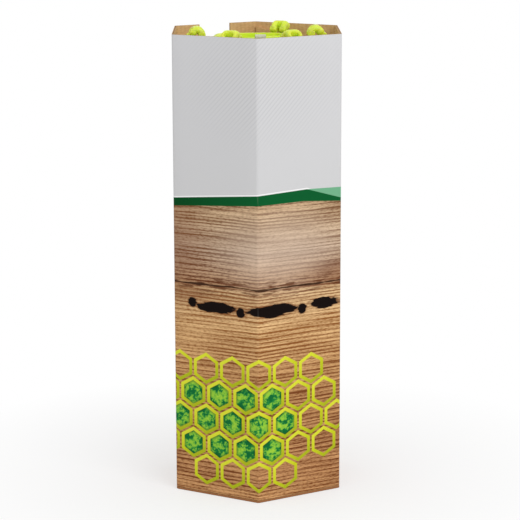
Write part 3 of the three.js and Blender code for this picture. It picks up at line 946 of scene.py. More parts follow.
@dataclass(frozen=True)
class HoneycombMotif:
    """A plain cluster of cells with lime rims and mottled green fillings, printed over the wood."""

    cell: float = 20.0
    rim_start: float = 0.7
    rim_end: float = 2.9
    soft: float = 0.2
    shadow: float = 2.2
    blotch: float = 6.0
    # The oval that rimmed cells lie in, and the one that filled cells lie in
    rimmed: Spot = (178.0, 56.0, 78.0, 47.0)
    filled: Spot = (172.0, 54.0, 52.0, 30.0)

    def grid(self, sheet: Layout) -> tuple[NodeSocket, Node]:
        """Finds the cell that a point is in.

        Args:
            sheet: The layout of the print.

        Returns:
            How many cells the point is from its cell's middle, and that middle.
        """
        tree = sheet.tree
        place = add(tree, VECTOR, {0: sheet.uv, "Scale": 1 / self.cell}, operation="SCALE")
        rows = (1.0, math.sqrt(3), 1.0)
        half = (rows[0] / 2, rows[1] / 2, 0.0)
        offsets = []
        # The hexagon grid is two grids of rectangles, and a point belongs to the nearer middle
        for start in (place, add(tree, VECTOR, {0: place, 1: half}, operation="ADD")):
            within = add(tree, VECTOR, {0: start, 1: rows}, operation="MODULO")
            offsets.append(add(tree, VECTOR, {0: within, 1: half}, operation="SUBTRACT"))
        lengths = [add(tree, VECTOR, {0: offset}, operation="LENGTH") for offset in offsets]
        second = add(tree, MATH, {0: lengths[0], 1: lengths[1]}, operation="GREATER_THAN")
        nearer = {"Factor": second, 4: offsets[0], 5: offsets[1]}
        offset = add(tree, MIX, nearer, data_type="VECTOR").outputs[1]
        middle = add(tree, VECTOR, {0: place, 1: offset}, operation="SUBTRACT")
        return offset, add(tree, VECTOR, {0: middle, "Scale": self.cell}, operation="SCALE")

    def paint(self, sheet: Layout, below: NodeSocket) -> NodeSocket:
        """Paints the cells.

        Args:
            sheet: The layout of the print.
            below: The wood's colour.

        Returns:
            The colour with the cells.
        """
        tree = sheet.tree
        offset, middle = self.grid(sheet)
        across = add(tree, VECTOR, {0: offset}, operation="ABSOLUTE")
        slope = (0.5, math.sqrt(3) / 2, 0.0)
        slanting = add(tree, VECTOR, {0: across, 1: slope}, operation="DOT_PRODUCT")
        upright = add(tree, PARTS, {0: across}).outputs[0]
        reach = add(tree, MATH, {0: slanting, 1: upright}, operation="MAXIMUM")
        inward = {0: reach, 1: -self.cell, 2: self.cell / 2}
        depth = add(tree, MATH, inward, operation="MULTIPLY_ADD")
        has_rim, has_filling = (
            add(tree, MATH, {0: sheet.from_spot(oval, middle), 1: 1.0}, operation="LESS_THAN")
            for oval in (self.rimmed, self.filled)
        )
        in_rim, past_rim = (
            add(tree, RANGE, {"Value": depth, 1: edge - self.soft, 2: edge + self.soft})
            for edge in (self.rim_start, self.rim_end)
        )
        filling = add(tree, MATH, {0: past_rim, 1: has_filling}, operation="MULTIPLY")
        rim = add(tree, MATH, {0: in_rim, 1: past_rim}, operation="SUBTRACT")
        rim = add(tree, MATH, {0: rim, 1: has_rim}, operation="MULTIPLY")
        blotches = {"Vector": sheet.uv, "Scale": 1 / self.blotch, "Detail": 4.0, "Roughness": 0.75}
        mottle = set_ramp(
            add(tree, RAMP, {"Fac": add(tree, NOISE, blotches)}),
            [(0.43, "#0F6A34"), (0.48, "#1F8A3E"), (0.52, "#7CBF3C"), (0.66, "#A5D23E")],
        )
        shadow = sheet.fade(depth, self.rim_end, self.rim_end + self.shadow, 0.55)
        inside = lay(tree, mottle.outputs[0], "#0B4A26", shadow)
        lit = add(tree, VECTOR, {0: offset, 1: (-0.5, 0.8, 0.0)}, operation="DOT_PRODUCT")
        relief = set_ramp(
            add(tree, RAMP, {"Fac": add(tree, RANGE, {"Value": lit, 1: -0.45, 2: 0.45})}),
            [(0.0, "#A9B41C"), (0.5, "#C8CF22"), (1.0, "#DDE23A")],
        )
        return lay(tree, lay(tree, below, inside, filling), relief.outputs[0], rim)


@dataclass(frozen=True)
class PaleField:
    """The pale grey field over the stripe, with a faint slanting hatch."""

    # The real hatch is 1.5 mm apart and is drawn a little wider, so that it shows
    hatch_pitch: float = 2.3
    hatched: Spot = (196.0, 276.0, 70.0, 48.0)
    low: float = 200.0
    high: float = 300.0

    def paint(self, sheet: Layout) -> NodeSocket:
        """Paints the field.

        Args:
            sheet: The layout of the print.

        Returns:
            Its colour.
        """
        tree = sheet.tree
        slant = add(tree, MATH, {0: sheet.u, 1: sheet.v}, operation="SUBTRACT")
        turns = math.tau / (math.sqrt(2) * self.hatch_pitch)
        phase = add(tree, MATH, {0: slant, 1: turns}, operation="MULTIPLY")
        wave = add(tree, MATH, {0: phase}, operation="SINE")
        line = add(tree, RANGE, {"Value": wave, 1: 0.1, 2: 0.9, 3: 0.0, 4: 1.0})
        strength = sheet.fade(sheet.from_spot(self.hatched), 0.2, 1.2, 0.5)
        share = add(tree, MATH, {0: line, 1: strength}, operation="MULTIPLY")
        tone = add(tree, RANGE, {"Value": sheet.v, 1: self.low, 2: self.high})
        field_ramp = set_ramp(add(tree, RAMP, {"Fac": tone}), [(0.0, "#D0D0D1"), (1.0, "#D3D3D5")])
        return lay(tree, field_ramp.outputs[0], "#BDBDC0", share)


@dataclass(frozen=True)
class GreenStripe:
    """The green stripe between the wood and the pale field, with a light wedge at its right."""

    wrap: float = 379.1
    low: float = 180.0
    high: float = 220.0
    white_line: float = 0.9
    soft: float = 0.2
    # Where the stripe turns from its deep green to its light one
    turns: tuple[float, float] = (120.0, 200.0)
    # Points round the carton with their heights
    upper: tuple[tuple[float, float], ...] = (
        (0.0, 199.0),
        (63.2, 204.6),
        (100.3, 206.0),
        (126.3, 198.9),
        (189.5, 204.8),
        (226.6, 206.2),
        (252.7, 198.4),
        (315.9, 204.4),
        (353.0, 206.0),
        (379.1, 199.0),
    )
    lower: tuple[tuple[float, float], ...] = (
        (0.0, 194.6),
        (63.2, 198.6),
        (98.0, 198.2),
        (126.3, 193.6),
        (189.5, 198.3),
        (224.3, 198.5),
        (252.7, 196.2),
        (315.9, 198.8),
        (350.0, 198.2),
        (379.1, 194.6),
    )
    wedge: tuple[tuple[float, float], ...] = (
        (0.0, 185.0),
        (224.0, 185.0),
        (226.6, 206.2),
        (252.7, 205.5),
        (300.0, 202.0),
        (302.0, 185.0),
        (379.1, 185.0),
    )

    def edge(self, sheet: Layout, points: Sequence[tuple[float, float]]) -> Node:
        """How high over a drawn line a point is.

        Args:
            sheet: The layout of the print.
            points: The line's points.

        Returns:
            The height over it.
        """
        tree = sheet.tree
        along = add(tree, MATH, {0: sheet.u, 1: 1 / self.wrap}, operation="MULTIPLY")
        curve = add(tree, "ShaderNodeFloatCurve", {"Value": along})
        places = curve.mapping.curves[0].points
        while len(places) < len(points):
            places.new(0.5, 0.5)
        for place, (u, v) in zip(places, points):
            place.location = (u / self.wrap, (v - self.low) / (self.high - self.low))
            place.handle_type = "VECTOR"
        curve.mapping.update()
        drawn = {0: curve, 1: self.high - self.low, 2: self.low}
        height = add(tree, MATH, drawn, operation="MULTIPLY_ADD")
        return add(tree, MATH, {0: sheet.v, 1: height}, operation="SUBTRACT")

    def paint(self, sheet: Layout, below: NodeSocket, above: NodeSocket) -> NodeSocket:
        """Paints the stripe and parts the wood from the field.

        Args:
            sheet: The layout of the print.
            below: The wood's colour.
            above: The field's colour.

        Returns:
            The colour of the whole print.
        """
        tree = sheet.tree
        shade = add(tree, RANGE, {"Value": sheet.u, 1: self.turns[0], 2: self.turns[1]})
        green = set_ramp(add(tree, RAMP, {"Fac": shade}), [(0.0, "#004219"), (1.0, "#065B2C")])
        over_upper = self.edge(sheet, self.upper)
        # Each covers all that is under its own line: bare board, light wedge, stripe and wood
        layers = (
            ("#F4F4F4", over_upper, self.white_line),
            ("#72B089", self.edge(sheet, self.wedge), 0.0),
            (green.outputs[0], over_upper, 0.0),
            (below, self.edge(sheet, self.lower), 0.0),
        )
        colour = above
        for ink, over, start in layers:
            colour = lay(tree, colour, ink, sheet.fade(over, start - self.soft, start + self.soft))
        return colour


@dataclass(frozen=True)
class PrintedBoard(Finish):
    """White-lined corrugated board, offset printed and varnished: even ink with a dull gloss."""

    fold_spacing: float = 63.18
    # How far from a fold the pale line of wear and painted highlight reaches
    fold_wear_and_highlight_reach: float = 0.8
    rubs: Streaks = (3.0, 8.0, 4.0)
    paper: Streaks = (0.9, 0.9, 4.0)
    paper_depth: float = 0.06

    def build(self) -> Material:
        """Builds the print, with the ink pale along the folds, partly rubbed wear and partly a painted
        highlight.

        Returns:
            The finished material.
        """
        tree = self.start()
        sheet = Layout.read(tree)
        wood = WoodGrain().paint(sheet)
        wood = Crack().paint(sheet, wood)
        wood = BeeHoles().paint(sheet, wood)
        wood = HoneycombMotif().paint(sheet, wood)
        printed = GreenStripe().paint(sheet, wood, PaleField().paint(sheet))
        # The folds, as the distance to the nearest one
        past = add(tree, MATH, {0: sheet.u, 1: self.fold_spacing}, operation="FLOORED_MODULO")
        side = add(tree, MATH, {0: past, 1: self.fold_spacing / 2}, operation="SUBTRACT")
        away = add(tree, MATH, {0: side}, operation="ABSOLUTE")
        from_fold = add(tree, MATH, {0: self.fold_spacing / 2, 1: away}, operation="SUBTRACT")
        # Pale along the folds: partly ink rubbed off, partly a painted highlight where the board rounds
        # over
        rub = add(tree, RANGE, {"Value": sheet.streaks(self.rubs), 1: 0.45, 2: 0.7, 3: 0.0, 4: 0.05})
        near_fold = sheet.fade(from_fold, 0.0, self.fold_wear_and_highlight_reach)
        fold_wear_and_highlight = add(tree, MATH, {0: near_fold, 1: rub}, operation="MULTIPLY")
        paper = sheet.streaks(self.paper)
        relief = {"Strength": 0.1, "Distance": self.paper_depth * MM, "Height": paper}
        inputs = {
            "Base Color": lay(tree, printed, "#E4E0DA", fold_wear_and_highlight),
            "Normal": add(tree, BUMP, relief),
            "Roughness": 0.55,
            "IOR": 1.5,
            "Specular IOR Level": 0.06,
        }
        return self.finish(tree, inputs)


@dataclass(frozen=True)
class SimplePaper(Finish):
    """Paper or board with a fine fibre and an even colour."""

    light: str = "#C9C7BA"
    deep: str = "#AFAD9F"
    roughness: float = 0.7
    fibre: float = 1.5
    fibre_depth: float = 0.08

    def build(self) -> Material:
        """Builds the paper.

        Returns:
            The finished material.
        """
        tree = self.start()
        place = add(tree, COORDS).outputs["Object"]
        fibre = add(tree, NOISE, {"Vector": place, "Scale": 1 / (self.fibre * MM), "Detail": 5.0})
        relief = {"Strength": 0.15, "Distance": self.fibre_depth * MM, "Height": fibre}
        inputs = {
            "Base Color": set_ramp(
                add(tree, RAMP, {"Fac": fibre}), [(0.35, self.deep), (0.65, self.light)]
            ),
            "Normal": add(tree, BUMP, relief),
            "Roughness": self.roughness,
            "IOR": 1.5,
            "Specular IOR Level": 0.4,
        }
        return self.finish(tree, inputs)


@dataclass(frozen=True)
class StickyFilm(Finish):
    """Polypropylene film under clear glue: a mottled leaf green print with a wet gloss."""

    blotch: float = 9.0

    def build(self) -> Material:
        """Builds the mottled print from blotches of many sizes.

        Returns:
            The finished material.
        """
        tree = self.start()
        uv = add(tree, UV_MAP, uv_map=WRAP)
        blotches = {"Vector": uv, "Scale": 1 / self.blotch, "Detail": 4.0, "Roughness": 0.7}
        mottle = set_ramp(
            add(tree, RAMP, {"Fac": add(tree, NOISE, blotches)}),
            [(0.42, "#0E5A16"), (0.47, "#1E8A22"), (0.52, "#5CC62E"), (0.62, "#A6E04A")],
        )
        inputs = {
            "Base Color": mottle,
            "Roughness": 0.16,
            "IOR": 1.5,
            "Coat Weight": 0.6,
            "Coat Roughness": 0.08,
        }
        return self.finish(tree, inputs)


class Look(Enum):
    """The finishes of this trap."""

    PRINT = PrintedBoard("printed_corrugated_board")
    KRAFT_INSIDE = KraftBoard("kraft_liner_fluted", fluted=True)
    KRAFT = KraftBoard("kraft_liner_folded", coated_below=True)
    BASE = KraftBoard("kraft_liner_base", coated_below=True, printed_sides=True)
    EDGE = BoardEdge("corrugated_board_edge")
    TUBE = SimplePaper("wound_tube_board")
    FILM = StickyFilm("glue_coated_film")
    LINER = SimplePaper("glassine_release_paper", "#D6D8C2", "#C3C8AB", 0.38)
    CAP = MouldedPlastic("moulded_polypropylene_cap", "#E0F547", "#CBE834")
    GUARD = MouldedPlastic("moulded_polypropylene_guard")

    @property
    def material(self) -> Material:
        """The look's material."""
        return self.value.made()


# Carton


@dataclass
class Carton:
    """The open carton: a printed sleeve with a thumb notch, its glued flap and its folded base."""

    bottom: float = 1.8
    board: float = 1.5
    corner_radius: float = 2.2
    notch_width: float = 24.0
    notch_depth: float = 14.0
    notch_radius: float = 2.5
    notch_offset: float = 1.3
    notch_normal: float = 120.0
    # The direction of the corner where the print's map starts
    seam: float = 90.0
    bow: float = 0.25
    bow_shift: float = 2.1
    bow_waves: float = 5.0
    bands: int = 24
    wall_cuts: int = 7

    def build(self) -> None:
        """Builds the sleeve and dresses the folded flaps."""
        self.sleeve()
        looks = {"carton_glue_flap": Look.KRAFT, "carton_base_panel": Look.BASE}
        looks.update({f"carton_dust_flap_{i}": Look.KRAFT for i in range(1, SIDES)})
        for name, look in looks.items():
            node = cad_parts[name]
            node.data.materials.clear()
            node.data.materials.append(look.material)
            log.info("%s: dressed with %s", name, look.value.name)

    def sleeve(self) -> None:
        """Builds the printed sleeve from one rounded hexagon."""
        bm = open_tube(CARTON_FLATS, self.corner_radius, self.bottom, CARTON_HEIGHT, CARTON_NORMAL)
        upright = edges_along(bm.edges, 2)
        bmesh.ops.subdivide_edges(bm, edges=upright, cuts=self.bands, use_grid_fill=True)
        upright = set(edges_along(bm.edges, 2))
        # The level edges of the walls, and not the short ones of the corners
        level = [e for e in bm.edges if e not in upright and e.calc_length() > self.corner_radius]
        bmesh.ops.subdivide_edges(bm, edges=level, cuts=self.wall_cuts, use_grid_fill=True)
        self.bow_walls(bm)
        bmesh.ops.recalc_face_normals(bm, faces=bm.faces)
        looks = [Look.PRINT.material, Look.KRAFT_INSIDE.material, Look.EDGE.material]
        shell = make_object(bm, "sleeve_shell", looks)
        wall = give_wall(shell, self.board)
        wall.material_offset = 1
        wall.material_offset_rim = 2
        mesh = cut_out(shell, self.notch_cutter(looks), "printed_sleeve")
        unwrap_round(mesh, CARTON_FLATS, self.seam)
        self.measure_depth(mesh)
        mark_sharp(mesh)
        settle(link_mesh(mesh, "printed_sleeve"), "carton", ["carton_sleeve"])

    def bow_walls(self, bm: BMesh) -> None:
        """Draws each wall in a little, as board bows between its folds.

        Args:
            bm: The shell of the sleeve.
        """
        half = side_length(CARTON_FLATS) / 2
        for vert in bm.verts:
            angle = math.degrees(math.atan2(vert.co.y, vert.co.x))
            face = round((angle - CARTON_NORMAL) / SIXTH)
            facing = CARTON_NORMAL + face * SIXTH
            along = vert.co.dot(polar(facing + 90)) / half
            up = (vert.co.z - self.bottom) / (CARTON_HEIGHT - self.bottom)
            wave = (math.cos(self.bow_shift * face + self.bow_waves * up) - 1) / 2
            vert.co += polar(facing) * self.bow * wave * (1 - along * along) * math.sin(up * math.pi)

    def notch_cutter(self, looks: Sequence[Material]) -> Object:
        """The shape that opens the thumb notch.

        Args:
            looks: The sleeve's materials, of which the last is the cut edge.

        Returns:
            An object for a Boolean modifier.
        """
        bm = bmesh.new()
        bmesh.ops.create_cube(bm, size=1)
        # It reaches well past the board on both sides
        size = (self.notch_width, self.board * 8, 2 * self.notch_depth)
        bmesh.ops.scale(bm, vec=size, verts=bm.verts)
        round_off(bm, edges_along(bm.edges, 1), self.notch_radius, 6)
        # Seen from outside, the left corner lies clockwise round the carton
        shift = Vector((self.notch_offset, -CARTON_FLATS / 2, CARTON_HEIGHT))
        place = turned(self.notch_normal + 90) @ Matrix.Translation(shift)
        bmesh.ops.transform(bm, matrix=place, verts=bm.verts)
        for face in bm.faces:
            face.material_index = len(looks) - 1
        return make_object(bm, "notch_cutter", looks)

    def measure_depth(self, mesh: Mesh) -> None:
        """Stores how deep in the board each vertex lies, for the cut edge's finish.

        Args:
            mesh: The finished sleeve.
        """
        depths = []
        for vert in mesh.vertices:
            reach = max(vert.co.dot(polar(CARTON_NORMAL + side * SIXTH)) for side in range(SIDES)) / MM
            depths.append(min(max(CARTON_FLATS / 2 - reach, 0.0), self.board))
        layer = mesh.attributes.new(DEPTH, "FLOAT", "POINT")
        layer.data.foreach_set("value", depths)


# Stick


@dataclass
class Wrap:
    """One hexagonal layer of the stick: the board tube, the film or the liner."""

    name: str
    node: str
    look: Look
    slot: str
    across_flats: float
    wall: float
    corner_radius: float
    bottom: float
    top: float
    seam_gap: float = 0.0
    seam_normal: float = 275.0
    seam_from_corner: float = 5.0

    def build(self) -> None:
        """Builds the layer as a rounded hexagon with a wall."""
        bm = open_tube(self.across_flats, self.corner_radius, self.bottom, self.top, STICK_NORMAL)
        if self.seam_gap:
            self.open_seam(bm)
        bmesh.ops.recalc_face_normals(bm, faces=bm.faces)
        obj = make_object(bm, self.name, [self.look.material])
        give_wall(obj, self.wall)
        mesh = applied_mesh(obj, self.name)
        unwrap_round(mesh, self.across_flats, STICK_NORMAL - SIXTH / 2)
        mark_sharp(mesh)
        settle(link_mesh(mesh, self.name), "stick", [self.node])

    def open_seam(self, bm: BMesh) -> None:
        """Parts the layer along its butt seam.

        Args:
            bm: The layer's outer wall.
        """
        outward = polar(self.seam_normal)
        along = polar(self.seam_normal + 90)
        middle = side_length(self.across_flats) / 2 - self.seam_from_corner
        for shift in (-self.seam_gap / 2, self.seam_gap / 2):
            bmesh.ops.bisect_plane(
                bm,
                geom=bm.verts[:] + bm.edges[:] + bm.faces[:],
                plane_co=along * (middle + shift),
                plane_no=along,
            )
        gap = []
        for face in bm.faces:
            centre = face.calc_center_median()
            if centre.dot(outward) > 0 and abs(centre.dot(along) - middle) < self.seam_gap / 2:
                gap.append(face)
        bmesh.ops.delete(bm, geom=gap, context="FACES")


@dataclass
class PullTab:
    """The liner's pale tab, folded over the cap's rim into the well."""

    width: float = 7.0
    thickness: float = 0.5
    on_liner: float = 26.95
    on_lip: float = 28.45
    in_well: float = 25.35
    bond: float = 13.0
    skirt_edge: float = 284.5
    lap: float = 0.3
    cap_top: float = 300.5
    rise: float = 3.9
    tail: float = 4.4
    normal: float = 275.0
    fold_steps: int = 14
    edge_rounding: float = 0.1

    def line(self) -> list[Vector]:
        """The tab's middle line, seen from its side.

        Returns:
            Points with their radius as X and their height as Z.
        """
        jog = self.on_lip - self.on_liner
        radius = (self.on_lip - self.in_well) / 2
        middle = (self.on_lip + self.in_well) / 2
        top = self.cap_top + self.rise - radius - self.thickness / 2
        points = [
            Vector((self.on_liner, 0, self.skirt_edge - jog - self.bond)),
            Vector((self.on_liner, 0, self.skirt_edge - 2 * jog)),
            Vector((self.on_lip, 0, self.skirt_edge - self.lap)),
            Vector((self.on_lip, 0, (self.skirt_edge + self.cap_top) / 2)),
        ]
        for step in range(self.fold_steps + 1):
            angle = math.pi * step / self.fold_steps
            points.append(Vector((middle + radius * math.cos(angle), 0, top + radius * math.sin(angle))))
        points.append(Vector((self.in_well, 0, self.cap_top - self.tail)))
        return points

    def build(self) -> None:
        """Builds the tab as a bent strip."""
        points = self.line()
        bm = bmesh.new()
        bmesh.ops.create_grid(bm, x_segments=2, y_segments=len(points) - 1, size=0.5)
        rows = sorted({round(v.co.y, 5) for v in bm.verts})
        for vert in bm.verts:
            point = points[rows.index(round(vert.co.y, 5))]
            vert.co = Vector((point.x, vert.co.x * self.width, point.z))
        bmesh.ops.rotate(bm, matrix=turned(self.normal).to_3x3(), verts=bm.verts)
        bmesh.ops.recalc_face_normals(bm, faces=bm.faces)
        tab = make_object(bm, "pull_tab", [Look.LINER.material])
        give_wall(tab, self.thickness, 0)
        soften_edges(tab, self.edge_rounding, 1)
        settle(tab, "stick", ["liner_pull_tab"])


@dataclass
class Cap:
    """A moulded cap of the stick: a hexagonal skirt with a lip, and slots for the guard's straps."""

    name: str
    node: str
    skirt_edge: float
    lip_edge: float
    skirt_flats: float = 54.2
    lip_flats: float = 55.8
    lip_height: float = 1.6
    socket_flats: float = 50.6
    corner_radius: float = 2.6
    floor: float = 1.6
    well_flats: float = 51.8
    well_depth: float = 0.0
    slot_width: float = 3.4
    slot_height: float = 2.6
    slot_from_corner: float = 4.6
    slot_from_edge: float = 1.8
    slot_cut: float = 4.0
    # Width, length and corner radius
    window: tuple[float, float, float] = (16.0, 20.0, 3.0)
    window_cut: float = 8.0
    # Width and height
    bar: tuple[float, float] = (3.0, 4.0)
    bar_below_rim: float = 0.5
    bar_root: float = 0.6
    edge_rounding: float = 0.35

    def build(self) -> None:
        """Builds the cap, cuts its openings and rounds its edges."""
        up = 1 if self.lip_edge > self.skirt_edge else -1
        bm = bmesh.new()
        ring = hexagon_face(bm, self.skirt_flats, self.corner_radius, self.skirt_edge, STICK_NORMAL)
        mouth = list(ring.edges)
        shoulder = self.lip_edge - up * self.lip_height
        ring = raise_face(bm, ring, 1, shoulder)
        ring = raise_face(bm, ring, self.lip_flats / self.skirt_flats, shoulder)
        ring = raise_face(bm, ring, 1, self.lip_edge)
        if self.well_depth:
            ring = raise_face(bm, ring, self.well_flats / self.lip_flats, self.lip_edge)
            ring = raise_face(bm, ring, 1, self.lip_edge - up * self.well_depth)
        ceiling = self.lip_edge - up * (self.well_depth + self.floor)
        inner = bmesh.ops.edgeloop_fill(bm, edges=mouth)["faces"][0]
        inner = raise_face(bm, inner, self.socket_flats / self.skirt_flats, self.skirt_edge)
        raise_face(bm, inner, 1, ceiling)
        bmesh.ops.recalc_face_normals(bm, faces=bm.faces)
        body = make_object(bm, self.name, [Look.CAP.material])
        mesh = cut_out(body, self.cutter(up, ceiling), self.name)
        if self.well_depth:
            self.add_crossbar(mesh)
        cap = link_mesh(mesh, self.name)
        soften_edges(cap, self.edge_rounding)
        settle(cap, "stick", [self.node])

    def cutter(self, up: int, ceiling: float) -> Object:
        """The shapes that open the strap slots and the window.

        Args:
            up: 1 for the top cap and -1 for the bottom one.
            ceiling: The height of the socket's end.

        Returns:
            An object for a Boolean modifier.
        """
        bm = bmesh.new()
        middle = self.skirt_edge + up * (self.slot_from_edge + self.slot_height / 2)
        from_middle = side_length(self.skirt_flats) / 2 - self.slot_from_corner
        size = Matrix.Diagonal((self.slot_cut, self.slot_width, self.slot_height, 1))
        for side in range(SIDES):
            for along in (-from_middle, from_middle):
                place = Matrix.Translation((self.skirt_flats / 2, along, middle))
                turn = turned(STICK_NORMAL + side * SIXTH)
                bmesh.ops.create_cube(bm, size=1, matrix=turn @ place @ size)
        if self.well_depth:
            width, length, radius = self.window
            size = Matrix.Diagonal((width, length, self.window_cut, 1))
            box = bmesh.ops.create_cube(bm, size=1, matrix=size)["verts"]
            sides = dict.fromkeys(edge for vert in box for edge in vert.link_edges)
            window = round_off(bm, edges_along(sides, 2), radius, 4)
            place = Matrix.Translation((0, 0, ceiling)) @ turned(STICK_NORMAL - 90)
            bmesh.ops.transform(bm, matrix=place, verts=window)
        return make_object(bm, "cap_cutter", [Look.CAP.material])

    def add_crossbar(self, mesh: Mesh) -> None:
        """Joins the bar that the trap hangs by.

        Args:
            mesh: The top cap's mesh, in metres.
        """
        width, height = self.bar
        length = self.well_flats + 2 * self.bar_root
        middle = self.lip_edge - self.bar_below_rim - height / 2
        size = Matrix.Diagonal((width * MM, length * MM, height * MM, 1))
        place = turned(STICK_NORMAL - 90) @ Matrix.Translation((0, 0, middle * MM))
        bm = bmesh.new()
        bm.from_mesh(mesh)
        bmesh.ops.create_cube(bm, size=1, matrix=place @ size)
        bm.to_mesh(mesh)
        bm.free()


# Guard


@dataclass
class Strap:
    """One strap that clips the guard to a cap, standing at +X with its neck at height 0."""

    neck: float = 45.216
    width: float = 11.4
    neck_width: float = 6.0
    flare: float = 2.6
    dome_start: float = 3.0
    dome: float = 7.0
    # The dome doesn't close to a point
    dome_end: float = 0.1
    root: float = 2.5
    root_taper: float = 0.4
    root_gap: float = 0.9
    thickness: float = 4.7
    bend_centre: float = 39.216
    bend_height: float = 1.934
    bend_radius: float = 3.1
    shoulder: float = 5.2
    bead_radius: float = 2.4
    prong_gap: float = 2.6
    prong_length: float = 4.6
    window_height: float = 4.2
    window_foot: float = 0.08
    edge: float = 2.4
    bend_steps: int = 12
    bead_rounding: float = 0.5
    bead_steps: int = 16

    def half_width(self, height: float) -> float:
        """Finds half the strap's width.

        Args:
            height: The height over its neck.

        Returns:
            Half the width there.
        """
        if height <= 0:
            return self.neck_width / 2
        if height < self.flare:
            return (self.neck_width + (self.width - self.neck_width) * height / self.flare) / 2
        if height <= self.dome_start:
            return self.width / 2
        share = (height - self.dome_start) / self.dome
        return self.width / 2 * math.sqrt(max(1 - share * share, self.dome_end))

    def half_gap(self, height: float) -> float:
        """Half the width of the window at a height over the neck."""
        share = min(max(height / self.window_height, self.window_foot), 1)
        return (self.width / 2 - self.edge) * share

    def rows(self) -> list[tuple[float, float, float, float, bool]]:
        """The strap's cross lines from its root to its bead.

        Returns:
            For each line its radius, height, half width, half gap, and whether the strip that
            follows it is open between its two edges.
        """
        root_width = self.neck_width / 2 - self.root_taper
        rows = [(self.neck, -self.root, root_width, self.root_gap, False)]
        start = self.bend_centre + self.bend_radius
        for share in (0.0, 0.5, 1.0):
            height = self.bend_height * share
            radius = self.neck + (start - self.neck) * share
            rows.append((radius, height, self.half_width(height), self.half_gap(height), True))
        for step in range(1, self.bend_steps + 1):
            angle = math.pi * step / self.bend_steps
            radius = self.bend_centre + self.bend_radius * math.cos(angle)
            height = self.bend_height + self.bend_radius * math.sin(angle)
            left = math.pi * self.bend_radius - self.bend_radius * angle
            split = left < self.prong_length
            window = angle < math.pi / 2 and height < self.window_height
            gap = self.half_gap(height) if window else self.prong_gap / 2
            inner = angle > math.pi / 2
            half = max(self.half_width(height), self.half_width(self.shoulder) if inner else 0)
            rows.append((radius, height, half, gap, window or split))
        return rows

    def place(self, height: float, angle: float, at_top: bool) -> Matrix:
        """The matrix that puts the strap on the guard, with its neck at a height and an angle."""
        flip = Matrix.Identity(4) if at_top else Matrix.Rotation(math.pi, 4, "X")
        return Matrix.Translation((0, 0, height)) @ turned(angle) @ flip

    def add_sheet(self, bm: BMesh, place: Matrix) -> None:
        """Adds the strap as a sheet that gets its thickness later.

        Args:
            bm: The sheet of the guard half's straps.
            place: Where the strap goes.
        """
        rows = self.rows()
        made = bmesh.ops.create_grid(bm, x_segments=3, y_segments=len(rows) - 1, size=1)
        verts = sorted(made["verts"], key=lambda v: (round(v.co.y, 4), v.co.x))
        faces = {face for vert in verts for face in vert.link_faces}
        # Each row has four vertices: the strap's two sides and the two sides of its opening
        lanes = {vert: divmod(i, 4) for i, vert in enumerate(verts)}
        open_faces = []
        for face in faces:
            row = min(lanes[v][0] for v in face.verts)
            lane = min(lanes[v][1] for v in face.verts)
            if lane == 1 and rows[row][4]:
                open_faces.append(face)
        for vert, (row, lane) in lanes.items():
            radius, height, half, gap, _ = rows[row]
            across = (-half, -gap, gap, half)[lane]
            vert.co = place @ Vector((radius, across, height))
        bmesh.ops.delete(bm, geom=open_faces, context="FACES")

    def add_beads(self, bm: BMesh, place: Matrix) -> None:
        """Adds the two beads at the ends of the prongs.

        Args:
            bm: The bmesh of the guard half's small solids.
            place: Where the strap goes.
        """
        radius, height, _, gap, _ = self.rows()[-1]
        length = self.width / 2 - gap
        lie = Matrix.Rotation(math.pi / 2, 4, "X")
        for side in (-1, 1):
            middle = Matrix.Translation((radius, side * (gap + length / 2), height))
            bead = place @ middle @ lie
            add_disc(bm, self.bead_radius, length, self.bead_rounding, self.bead_steps, bead)


